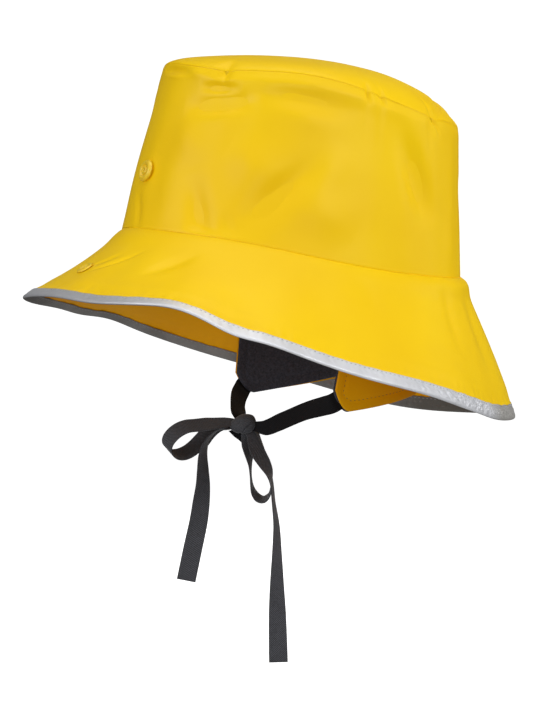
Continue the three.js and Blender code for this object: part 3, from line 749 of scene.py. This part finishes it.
# The press studs
# Ring studs of yellow plastic, clenched through the cloth. The one on the brim takes the one on the crown
# when the front is turned up.
stud_finish, tree, shader = new_finish("stud_plastic", 0.3, Coat_Weight=0.2, Coat_Roughness=0.15)
where = on_piece(tree)
scuffs = noise(tree, where, 700.0, 3.0)
tint = blend_colour(tree, remap(tree, scuffs, 0.4, 0.7, 0.0, 1.0), (0.86, 0.60, 0.02), (0.78, 0.49, 0.01))
tree.links.new(tint, shader.inputs["Base Color"])
tree.links.new(remap(tree, scuffs, 0.3, 0.7, 0.24, 0.4), shader.inputs["Roughness"])
relief(tree, shader, [(scuffs, 0.00004)])
# Out from the axis in millimetres, and height as a share of the stud's own: the socket, and the ring round it
stud_profile = np.array(
    [
        (0.01, 0.30), (0.62, 0.30), (0.74, 0.40), (0.78, 0.82), (0.92, 0.96), (1.30, 1.00), (1.75, 0.96),
        (2.05, 0.84), (2.20, 0.60), (2.30, 0.46), (2.60, 0.40), (3.05, 0.42), (3.25, 0.50), (3.38, 0.78),
        (3.60, 0.94), (4.10, 1.00), (4.75, 0.96), (5.25, 0.80), (5.60, 0.52), (5.75, 0.22), (5.75, 0.0),
    ]
)


def press_stud(name, place, normal, size, node):
    """A turned stud of a size in radius and height: its profile is carried round its axis, and its back is
    closed flat."""
    turn = np.radians(np.arange(0.0, 360.0, 5.0))
    side = np.cross(normal, [1.0, 0.0, 0.0])
    side /= np.linalg.norm(side)
    other = np.cross(normal, side)
    radius = np.concatenate([stud_profile[:, 0], [4.0, 2.0, 0.01]]) * size[0] / stud_profile[-1, 0]
    height = np.concatenate([stud_profile[:, 1] * size[1], [0.0, 0.0, 0.0]])
    ring = side * np.cos(turn)[:, None] + other * np.sin(turn)[:, None]
    points = place + radius[:, None, None] * ring[None] + (height + seam_gap)[:, None, None] * normal
    piece = grid_piece(name, hat_place(points), stud_finish, "fan")
    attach(piece, "root")
    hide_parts(node)


# The angle and the height up the crown of one, and the angle and the distance down the brim of the other
crown_stud_at = np.array([8.0, 0.34])
brim_stud_at = np.array([7.5, 35.0])
crown_stud_place = crown_point(crown_stud_at[0], crown_stud_at[1])
crown_lean = (head_half[1] - tip_half[1]) / crown_tall
crown_stud_normal = oval_out(head_half, crown_stud_at[0]) + np.array([0.0, 0.0, crown_lean])
crown_stud_normal /= np.linalg.norm(crown_stud_normal)
brim_stud_place, brim_stud_normal = brim_frame(brim_stud_at[0], brim_stud_at[1])
press_stud("crown_stud", crown_stud_place, crown_stud_normal, (5.75, 2.0), "snap_crown")
press_stud("brim_stud", brim_stud_place, brim_stud_normal, (4.5, 0.8), "snap_brim")

# The ear flaps
# Each flap is a coated outer layer and a dark fleece lining, turned and topstitched 5 mm inside the edge.
# It is sewn in at the brim seam and hangs inside the brim, leaning in towards the ear.
flap_outer = 1.2
flap_lining = 2.0
layer_gap = 0.45
topstitch_in = 5.2
topstitch_from = 4.0
flap_size = {"length": 70.0, "above": 7.0, "bevel": 12.0, "round_back": 11.0, "lean": 8.0}
flap_table = {
    "left": {"turn": 1, "front": 11.5, "drop": 73.2, "corner": 10.0, "rise": 12.5},
    "right": {"turn": -1, "front": -3.0, "drop": 69.8, "corner": 9.0, "rise": 15.0},
}


def flap_degrees(flap, along):
    """The angle round the hat at a distance along a flap from its front edge."""
    return flap["turn"] * np.degrees(np.arccos(-(flap["front"] + along) / head_half[1]))


def flap_point(flap, along, drop, depth):
    """A point of a flap: along from its front edge, below the brim seam by drop, inside its outer face by
    depth. Above the seam it follows the crown's side, and below it leans in by its angle, with a soft
    wave that grows downwards."""
    below = np.maximum(drop, 0.0)
    wave = 0.5 * (below / 70.0) ** 2 * np.sin(along / 11.0 + flap["turn"])
    inset = shell_cloth + layer_gap + depth + below * np.tan(np.radians(flap_size["lean"])) + wave
    point = crown_point(flap_degrees(flap, along), np.maximum(-drop, 0.0) / crown_tall, inset)
    point[..., 2] -= below
    return point


def flap_bottom(flap, along, inset=0.0):
    """How far a flap's bottom edge lies below the brim seam: a curved bevel at the front, a straight rise
    to the back, and a rounded back corner, all moved up by an inset."""
    bevel, length, back = flap_size["bevel"], flap_size["length"], flap_size["round_back"]
    rising = flap["drop"] - (along - bevel) * np.tan(np.radians(flap["rise"]))
    bevelled = flap["drop"] - flap["corner"] * (1.0 - along / bevel) ** 2
    rounded = 0.35 * flap["drop"] * (1.0 - quarter_round(length - along, back))
    return np.where(along < bevel, bevelled, rising) - rounded - inset


def flap_layer(name, flap, face, thick, bulge, trim, finish):
    """One layer of a flap as a thin closed pad. Both faces draw together as a quarter circle within a
    thickness of the edge, and dip along the topstitching. Its bottom is cut short by the trim behind."""
    length = flap_size["length"]
    stations = length * (1.0 - np.cos(np.linspace(0.0, np.pi, 90))) / 2.0
    stations = np.concatenate([stations[:1], [0.25], stations[1:-1], [length - 0.25], stations[-1:]])[:, None]
    share = (1.0 - np.cos(np.linspace(0.0, np.pi, 70))) / 2.0
    share = np.concatenate([share, share[::-1]])[None]
    front_face = (np.arange(share.shape[1]) < share.shape[1] // 2)[None]
    bottom = flap_bottom(flap, stations, trim * (1.6 * stations / length - 0.6))
    drop = -flap_size["above"] + share * (bottom + flap_size["above"])
    edge = np.minimum(np.minimum(stations, length - stations), np.maximum(bottom - drop, 0.0))
    thin = 0.08 + 0.92 * quarter_round(edge, 0.8 * thick)
    dip = 0.2 * thick * bump(edge - topstitch_in, 1.0) * (drop > topstitch_from)
    middle = face + thick / 2.0
    half = thick / 2.0 * thin - dip + bulge * smooth(edge, 1.0, 9.0) * 0.25
    depth = np.where(front_face, middle - half, middle + half)
    points = flap_point(flap, stations, drop, depth)
    return grid_piece(name, hat_place(points), finish, "strip")


fleece_finish, tree, shader = new_finish(
    "fleece", 0.95, Sheen_Weight=0.35, Sheen_Roughness=0.5, Sheen_Tint=(0.35, 0.36, 0.50, 1.0)
)
where = on_piece(tree)
pile = noise(tree, where, 900.0, 4.0, 0.7)
tufts = noise(tree, where, 260.0, 3.0)
lit = remap(tree, pile, 0.35, 0.7, 0.0, 1.0)
tint = blend_colour(tree, lit, (0.019, 0.019, 0.026), (0.060, 0.060, 0.082))
tree.links.new(tint, shader.inputs["Base Color"])
relief(tree, shader, [(tufts, 0.0006), (pile, 0.0004)])

# Painted shade: the flaps' coating is a darker, more orange copy of the same yellow cloth, for the shade
# under the brim.
flap_coated_painted_shade = coated_cloth("coated_cloth_flap_painted_shade", (0.86, 0.41, 0.000), (0.80, 0.35, 0.000), 0.1)
# Painted shade: the flaps' ochre thread is darkened to a brownish ochre.
flap_thread_painted_shade = thread_finish("ochre_thread_painted_shade", (0.32, 0.15, 0.01))
lining_thread = thread_finish("navy_thread", (0.010, 0.010, 0.016))
inside_face = flap_outer + layer_gap
for side_name, flap in flap_table.items():
    outer = flap_layer(
        f"ear_flap_{side_name}_outer", flap,
        face=0.0, thick=flap_outer, bulge=0.0, trim=0.0, finish=flap_coated_painted_shade,
    )
    lining = flap_layer(
        f"ear_flap_{side_name}_fleece", flap,
        face=inside_face, thick=flap_lining, bulge=0.6, trim=0.9, finish=fleece_finish,
    )
    for piece, node, slot in (
        (outer, f"ear_flap_{side_name}", "coated_cloth"),
        (lining, f"ear_flap_lining_{side_name}", "fleece"),
    ):
        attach(piece, "root")
        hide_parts(node)
    # The topstitching runs down the front edge and then along the bottom
    bottom_along = np.linspace(topstitch_in, flap_size["length"] - topstitch_in, 260)
    bottom_drop = flap_bottom(flap, bottom_along, topstitch_in * 1.05)
    stitch_along = np.concatenate([np.full(60, topstitch_in), bottom_along])
    stitch_drop = np.concatenate([np.linspace(topstitch_from, bottom_drop[0], 61)[:-1], bottom_drop])
    for layer_name, at_depth, thread, facing_in in (
        ("outer", 0.12, flap_thread_painted_shade, 1.0),
        ("lining", inside_face + flap_lining - 0.15, lining_thread, -1.0),
    ):
        path = flap_point(flap, stitch_along, stitch_drop, at_depth)
        facing = oval_out(head_half, flap_degrees(flap, stitch_along)) * facing_in
        stitch_row(
            f"flap_stitches_{side_name}_{layer_name}", hat_place(path), hat_place(facing),
            pitch=0.0025, long=0.0012, thick=0.00028, finish=thread,
        )

# The ribbon
# Two lengths of black ribbed ribbon, 10 mm wide, one sewn to the lower front corner of each flap. They meet
# in front of the throat in a bow, and each makes one loop and one tail of it.
bow_place = np.array([0.2, -27.7, -87.4])
bow_turn = np.radians(70.0)
ribbon_thick = 0.55
# Each row is a point in the bow's own across, deep and up, then the direction over the ribbon's width there
# in the same three, and how wide it shows
tie_left = [
    (50.2, -40.6, 14.0, 0.46, 0.2, -0.88, 10), (47.6, -41.6, 12.3, 0.44, 0.1, -0.9, 10),
    (45.4, -42.2, 11.2, 0.3, 0, -0.95, 10), (41, -37.6, 9.9, 0, 0, -1, 10),
    (32.7, -26.2, 7.3, -0.25, 0, -0.97, 10), (19.3, -11.4, 1.3, -0.3, 0, -0.95, 10),
    (12, -5.2, -1.7, -0.1, 0, -1, 8.2), (6.9, -2.6, -1.2, 0, 0, -1, 5.4),
]
tie_right = [
    (2.4, 62.5, 22.4, 0.66, 0, -0.75, 10), (0.7, 61.9, 20.4, 0.67, 0, -0.74, 10),
    (-0.5, 60.9, 18.9, 0.68, 0, -0.73, 10), (-1.3, 56.5, 17.3, 0.74, 0, -0.67, 10),
    (-2.5, 48, 14.8, 0.76, 0, -0.65, 10), (-3.1, 34, 11.8, 0.74, 0, -0.67, 10),
    (-2.8, 18, 8.6, 0.8, 0, -0.6, 10), (-2.2, 5, 4.5, 0.92, 0, -0.38, 8.4),
]
loop_front = [
    (-7.2, -1.2, 0.9, -0.1, -0.6, -0.8, 5.6), (-13, -3.2, 0.5, 0.15, -0.74, -0.66, 8.4),
    (-18.5, -4.6, 0.1, 0.4, -0.68, -0.6, 10), (-24, -5.4, -0.5, 0.52, -0.64, -0.56, 10),
    (-29.3, -6, -1.1, 0.52, -0.64, -0.56, 10), (-33.2, -6.4, -2.7, 0.52, -0.64, -0.56, 10),
    (-36.4, -6.6, -5.1, 0.52, -0.64, -0.56, 10), (-38.9, -6.2, -8.3, 0.52, -0.64, -0.56, 10),
    (-39.6, -5, -11.6, 0.52, -0.64, -0.56, 10), (-38.3, -3, -14.2, 0.52, -0.64, -0.56, 10),
    (-35.6, -0.8, -15.9, 0.52, -0.64, -0.56, 10), (-32.2, 1.2, -15.9, 0.52, -0.64, -0.56, 10),
    (-28.6, 3, -14.4, 0.52, -0.64, -0.56, 10), (-25.2, 4.6, -11.9, 0.52, -0.64, -0.56, 10),
    (-21.8, 5.8, -8.8, 0.5, -0.5, -0.7, 10), (-18.2, 6.2, -4.6, 0.4, -0.4, -0.8, 9),
    (-13, 5.8, -1.3, 0.2, -0.35, -0.9, 6.8), (-7.2, 4.6, 0, 0.1, -0.3, -1, 5),
]
loop_back = [
    (4.2, -0.6, -5.5, 0.5, 0.5, 0.7, 5.4), (5.8, -1.8, -9.7, 0.5, 0.6, 0.6, 7.6),
    (8, -3.8, -14.9, 0.5, 0.68, 0.5, 10), (11.2, -5.4, -20.4, 0.42, 0.76, 0.46, 10),
    (13.8, -6, -25.7, 0.2, 0.87, 0.44, 10), (14.7, -5.4, -30.8, 0.02, 0.9, 0.42, 10),
    (14.3, -3.8, -35, 0, 0.92, 0.36, 10), (12.3, -1.6, -38.5, 0.1, 0.92, 0.36, 10),
    (9.2, -0.2, -39, 0, 0.92, 0.38, 10), (6.6, 0.8, -36.7, 0.18, 0.92, 0.33, 10),
    (4.9, 1.4, -32.6, 0.1, 0.98, 0.1, 10), (4.2, 1.6, -27.2, 0.04, 1, 0, 10),
    (3.9, 1.6, -21.8, 0.12, 1, 0, 10), (3.4, 1.4, -16.2, 0.42, 0.9, 0, 10),
    (3.0, 1.1, -11.2, 0.74, 0.66, 0.1, 9.4), (2.5, 0.7, -5.8, 0.95, 0.3, 0.1, 7.4),
]
tail_front = [
    (-7.2, 0.8, -2.7, -0.1, -1, 0.1, 5), (-12.6, -1, -3.0, -0.1, -1, 0.1, 7.4),
    (-17.6, -3, -7.2, -0.1, -0.99, 0.1, 9), (-20, -4.4, -12.2, -0.3, -0.95, 0.1, 10),
    (-20.9, -5.2, -17.2, -0.45, -0.89, 0, 10), (-20.9, -5.6, -24.1, -0.58, -0.81, 0, 10),
    (-20.9, -5.8, -31.4, -0.71, -0.7, 0, 10), (-21.8, -6, -40.8, -0.88, -0.47, 0, 10),
    (-23.1, -6, -50.3, -0.96, -0.28, 0, 10), (-26.4, -6, -66, -1, -0.1, 0, 10),
    (-29.6, -6, -81.5, -1, -0.1, 0, 10),
]
tail_back = [
    (5.6, 4.4, -3.3, -0.4, -0.9, 0.1, 5.6), (8.4, 8.2, -9.6, -0.3, -0.95, 0, 8.4),
    (12, 9.8, -19.6, -0.2, -0.98, 0, 10), (14.8, 10.2, -29.6, -0.13, -0.99, 0, 10),
    (16.1, 9.8, -41.4, -0.15, -0.98, 0, 10), (17.6, 8.8, -53.4, -0.3, -0.95, 0, 10),
    (17.9, 7.8, -69, -0.5, -0.86, 0, 10), (17.9, 7, -85.9, -0.74, -0.67, 0, 10),
    (18.1, 6.4, -99.5, -0.9, -0.44, 0, 10), (18.6, 6.2, -125.4, -1, -0.1, 0, 10),
]
in_knot = [(0.0, 0.4, -0.2, 0.5, -0.4, -0.75, 4.4)]


def bow_frame_to_part(points):
    """From the bow's own across, deep and up to the part's frame, in metres."""
    c, s = np.cos(bow_turn), np.sin(bow_turn)
    across, deep, up = np.moveaxis(points, -1, 0)
    turned = np.stack([across * c - deep * s, across * s + deep * c, up], -1)
    return (turned + bow_place) * 0.001


def smooth_path(rows, count):
    """A smooth curve through the rows, evenly stepped, with the ribbon's width there. Between two rows it
    is a cubic whose slope at each row is the centripetal Catmull-Rom one, and the width is blended
    straight. A ribbon has no right way round, so over is turned about where it would flip."""
    rows = np.array(rows, float)
    spots = rows[:, :3]
    padded = np.vstack([2 * spots[0] - spots[1], spots, 2 * spots[-1] - spots[-2]])
    knots = np.sqrt(np.linalg.norm(np.diff(padded, axis=0), axis=1))[:, None]
    slope = np.diff(padded, axis=0) / knots
    both = (padded[2:] - padded[:-2]) / (knots[1:] + knots[:-1])
    tangent = slope[:-1] + slope[1:] - both

    def at(place):
        """The curve at places counted in rows."""
        i = np.clip(place.astype(int), 0, len(rows) - 2)
        t = (place - i)[:, None]
        gap = knots[1:-1][i]
        p, q = spots[i], spots[i + 1]
        m, n = tangent[i] * gap, tangent[i + 1] * gap
        return (
            (2 * t**3 - 3 * t**2 + 1) * p + (t**3 - 2 * t**2 + t) * m
            + (3 * t**2 - 2 * t**3) * q + (t**3 - t**2) * n
        )

    over = rows[:, 3:6].copy()
    for k in range(1, len(over)):
        over[k] *= 1.0 if over[k] @ over[k - 1] > 0 else -1.0
    places = np.linspace(0.0, len(rows) - 1, 40 * len(rows))
    walked = np.concatenate([[0.0], np.cumsum(np.linalg.norm(np.diff(at(places), axis=0), axis=1))])
    even = np.interp(np.linspace(0.0, walked[-1], count), walked, places)
    number = np.arange(len(rows))
    width = np.stack([np.interp(even, number, over[:, k]) for k in range(3)], -1)
    return at(even), width, np.interp(even, number, rows[:, 6]), walked[-1]


def ribbon_surface(rows, step):
    """A flat ribbon along its rows. Its width lies along over, made square to its path, its section is a
    thin rectangle with round edges, and it cups a little."""
    *_, length = smooth_path(rows, 50)
    count = int(length / step)
    middle, width, wide, length = smooth_path(rows, count)
    along = np.gradient(middle, axis=0)
    along /= np.linalg.norm(along, axis=1, keepdims=True)
    for _ in range(8):
        width[1:-1] = (width[:-2] + 2 * width[1:-1] + width[2:]) / 4
        width -= along * (width * along).sum(1, keepdims=True)
        width /= np.linalg.norm(width, axis=1, keepdims=True)
    thick = np.cross(along, width)
    flat_share = 0.96
    flat = flat_share * np.linspace(-1.0, 1.0, 17)
    bend = np.linspace(-np.pi / 2, np.pi / 2, 5)[1:-1]
    edge = flat_share + (1.0 - flat_share) * np.cos(bend)
    half = ribbon_thick / 2
    over = np.concatenate([flat, edge, flat[::-1], -edge])
    high = np.concatenate([0 * flat + half, -half * np.sin(bend), 0 * flat - half, half * np.sin(bend)])
    cup = 0.22 * (over**2 - 0.4) * np.sin(np.linspace(0.0, 9.0, count))[:, None]
    points = (
        middle[:, None]
        + width[:, None] * (over[None] * wide[:, None] / 2)[..., None]
        + thick[:, None] * (high[None] + cup)[..., None]
    )
    return points, middle, length


def ribbon_weave(name, dark, light_yarn, sheen):
    """Black ribbon of ribbed twill: fine ribs that slant across it, grey where the yarn catches light and
    darker where it is worn flat. The ribs follow the ribbon's own map."""
    finish, tree, shader = new_finish(
        name, 0.78, Sheen_Weight=sheen, Sheen_Roughness=0.4, Specular_IOR_Level=2.0 * sheen
    )
    chart = add_node(tree, "ShaderNodeUVMap", uv_map="cloth").outputs["UV"]
    where = on_piece(tree)
    inputs = {"Vector": chart, "Scale": 560.0, "Distortion": 0.5, "Detail": 1.0, "Detail Scale": 2.0}
    kind = {"wave_type": "BANDS", "bands_direction": "DIAGONAL"}
    ribs = add_node(tree, "ShaderNodeTexWave", inputs, **kind).outputs["Fac"]
    yarns = noise(tree, where, 1500.0, 2.0, 0.6)
    worn = noise(tree, where, 60.0, 2.0)
    light = combine(tree, "MULTIPLY", ribs, yarns)
    tint = blend_colour(tree, remap(tree, light, 0.12, 0.48, 0.0, 1.0), dark, light_yarn)
    tint = blend_colour(tree, remap(tree, worn, 0.4, 0.7, 0.0, 0.3), tint, dark)
    tree.links.new(tint, shader.inputs["Base Color"])
    relief(tree, shader, [(ribs, 0.00009), (yarns, 0.00004)])
    return finish


ribbon_finish = ribbon_weave("ribbon", (0.019, 0.020, 0.024), (0.086, 0.087, 0.101), 0.25)
# Painted shade: the ties take a darker copy of the same ribbon with little sheen; the ribbon is one colour
# all along.
tie_painted_shade_finish = ribbon_weave("ribbon_ties_painted_shade", (0.005, 0.005, 0.006), (0.013, 0.0125, 0.0145), 0.06)
ribbons = {
    "ribbon_left": (tie_left + in_knot + loop_front + in_knot + tail_back,
                    ["tie_left", "bow_loop_front", "bow_tail_back"]),
    "ribbon_right": (tie_right + in_knot + loop_back + in_knot + tail_front,
                     ["tie_right", "bow_loop_back", "bow_tail_front"]),
}
# Once round the ribbon's section, in metres
ribbon_girth = 0.0216
for name, (rows, nodes) in ribbons.items():
    points, middle, length = ribbon_surface(rows, 0.7)
    piece = grid_piece(name, bow_frame_to_part(points), ribbon_finish, "fan", (length * 0.001, ribbon_girth))
    piece.data.materials.append(tie_painted_shade_finish)
    at_knot = np.linalg.norm(middle[: len(middle) // 2] - in_knot[0][:3], axis=1).argmin()
    # The faces from the flap to the knot take that painted-shade copy.
    tie_shade_faces = np.arange(len(piece.data.polygons)) < at_knot * points.shape[1]
    piece.data.polygons.foreach_set("material_index", tie_shade_faces.astype(int))
    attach(piece, "root")
    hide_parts(*nodes)

# The knot
# The ribbons cross and are wound once over each other, so the knot is a firm pad of folded ribbon with a
# pointed fold that shows below it.
knot_size = np.array([6.9, 5.1, 5.1])
knot_square = 2.6
# Folds pressed into it: the slope of the line across it, its height, its width and its depth
knot_folds = [(0.25, 1.7, 0.5, 0.35), (-0.35, 0.2, 0.6, 0.25), (0.9, -3.6, 0.5, 0.55)]


def knot_points():
    """A squared ball, narrow where the front loop runs into it, with folds pressed into it along the
    ribbon that is wound round."""
    place = np.linspace(-0.985, 0.985, 90)[:, None]
    turn = np.linspace(0.0, 2 * np.pi, 181)[None, :-1]
    girth = (1.0 - np.abs(place) ** knot_square) ** (1 / knot_square)
    c, s = np.cos(turn), np.sin(turn)
    reach = girth / (np.abs(c) ** knot_square + np.abs(s) ** knot_square) ** (1 / knot_square)
    across = knot_size[0] * place + 0 * reach
    reach = reach * (0.70 + 0.30 * smooth(across, -6.5, 0.5))
    deep = knot_size[1] * reach * c
    up = knot_size[2] * reach * s + 0.10 * (across - 1.0)
    fold = 0.0
    for slope, offset, wide, sunk in knot_folds:
        fold = fold + sunk * bump((up - slope * across - offset) / np.hypot(1.0, slope), wide)
    step = 0.22 * smooth(up - 0.9 * across + 3.6, -0.2, 0.5)
    shrink = 1.0 + (step - fold) / 5.0
    return np.stack([across, deep * shrink, up * shrink], -1)


knot = grid_piece("knot", bow_frame_to_part(knot_points()), ribbon_finish, "fan", (0.02, 0.03))
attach(knot, "root")
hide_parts("bow_knot")
pointed_fold = [
    (-2.2, 3.0, -2.4, 0.98, 0.1, -0.19, 11.4), (-1.6, 3.3, -5.2, 0.98, 0.1, -0.19, 7.6),
    (-0.9, 3.5, -7.8, 0.98, 0.1, -0.19, 3.4), (-0.5, 3.5, -9.7, 0.98, 0.1, -0.19, 0.7),
]
points, _, length = ribbon_surface(pointed_fold, 0.25)
fold_size = (length * 0.001, ribbon_girth)
# Painted shade: the pointed fold takes the ties' darker copy of the ribbon, below the knot.
point_of_knot = grid_piece("knot_point", bow_frame_to_part(points), tie_painted_shade_finish, "fan", fold_size)
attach(point_of_knot, "root")

# The studio
# A pale floor that curves up into a wall all round, far outside the hat. A soft light stands over the
# camera's shoulder, with others overhead, in front, behind, on the far side and low by the camera, under a
# pale sky that is darker away from the camera and a little brighter straight below.
white = (1.0, 1.0, 1.0, 1.0)
floor_z = -0.235
floor_reach = 4.0
wall_bend = 1.6
wall_tops = [3.0, 5.0]
floor_turn = np.radians(np.arange(0.0, 360.0, 3.75))[:, None]
bend = np.linspace(0.1, np.pi / 2, 12)
level = np.linspace(0.4, floor_reach, 12)
out = np.concatenate([[0.01], level, floor_reach + wall_bend * np.sin(bend), [floor_reach + wall_bend] * 2])
up = np.concatenate([np.zeros(13), wall_bend * (1.0 - np.cos(bend)), wall_tops])
x, y = out * np.cos(floor_turn), out * np.sin(floor_turn)
floor_points = np.stack([x, y, floor_z + up + 0 * x], -1).reshape(-1, 3)
index = np.arange(x.size).reshape(x.shape)
quads = np.stack(corners(np.vstack([index, index[:1]]).T), -1).reshape(-1, 4)
floor_look = {"Base_Color": (0.86, 0.86, 0.86, 1.0), "Emission_Color": white, "Emission_Strength": 0.8}
floor_finish = new_finish("pale_floor", 0.9, **floor_look)[0]
floor = add_mesh("floor", floor_points, quads.tolist() + [index[:, 0].tolist()], floor_finish)
floor.visible_diffuse = False
floor.visible_glossy = False
floor.visible_shadow = False


def soft_light(name, place, size, power, shine):
    """A rectangular soft light at a place, turned to face the middle of the hat. Without shine it lights
    the cloth and is not mirrored in it."""
    light = bpy.data.lights.new(name, "AREA")
    light.shape = "RECTANGLE"
    light.size, light.size_y = size
    light.energy = power
    lamp = bpy.data.objects.new(name, light)
    bpy.context.scene.collection.objects.link(lamp)
    lamp.location = place
    lamp.visible_glossy = shine
    x, y, z = place
    lamp.rotation_euler = (np.arctan2(np.hypot(x, y), z), 0.0, np.arctan2(x, -y))


# Place and size in metres, power in watts, and whether it is mirrored
for name, place, size, power, shine in (
    ("key", (1.6, 0.7, 0.8), (1.3, 1.0), 10.6, True),
    ("overhead", (0.3, 0.0, 1.7), (1.6, 1.6), 10.0, True),
    ("front", (0.6, -1.8, 0.4), (1.4, 1.2), 15.5, True),
    ("far side", (-1.6, 0.6, 0.7), (1.3, 1.0), 9.0, False),
    ("low", (1.7, -0.6, -0.15), (0.9, 0.7), 5.5, True),
    ("behind", (0.5, 1.9, 0.5), (1.2, 1.2), 17.5, False),
):
    soft_light(name, place, size, power, shine)

world = bpy.data.worlds.new("studio")
bpy.context.scene.world = world
world.use_nodes = True
tree = world.node_tree
toward = add_node(tree, "ShaderNodeTexCoord").outputs["Generated"]
height = add_node(tree, "ShaderNodeSeparateXYZ", {"Vector": toward}).outputs["Z"]
sky = remap(tree, height, -0.1, 0.9, 0.15, 0.44)
inputs = {0: toward, 1: (np.sin(camera_turn), -np.cos(camera_turn), 0.0)}
facing = add_node(tree, "ShaderNodeVectorMath", inputs, operation="DOT_PRODUCT").outputs["Value"]
dimmed = remap(tree, facing, -0.7, 0.5, 0.35, 1.0)
bounce = remap(tree, height, -0.2, -0.7, 0.0, 0.26)
sky = combine(tree, "ADD", combine(tree, "MULTIPLY", sky, dimmed), bounce)
tree.links.new(sky, tree.nodes["Background"].inputs["Strength"])
tree.nodes["Background"].inputs["Color"].default_value = white
bpy.context.scene.view_settings.view_transform = "Standard"
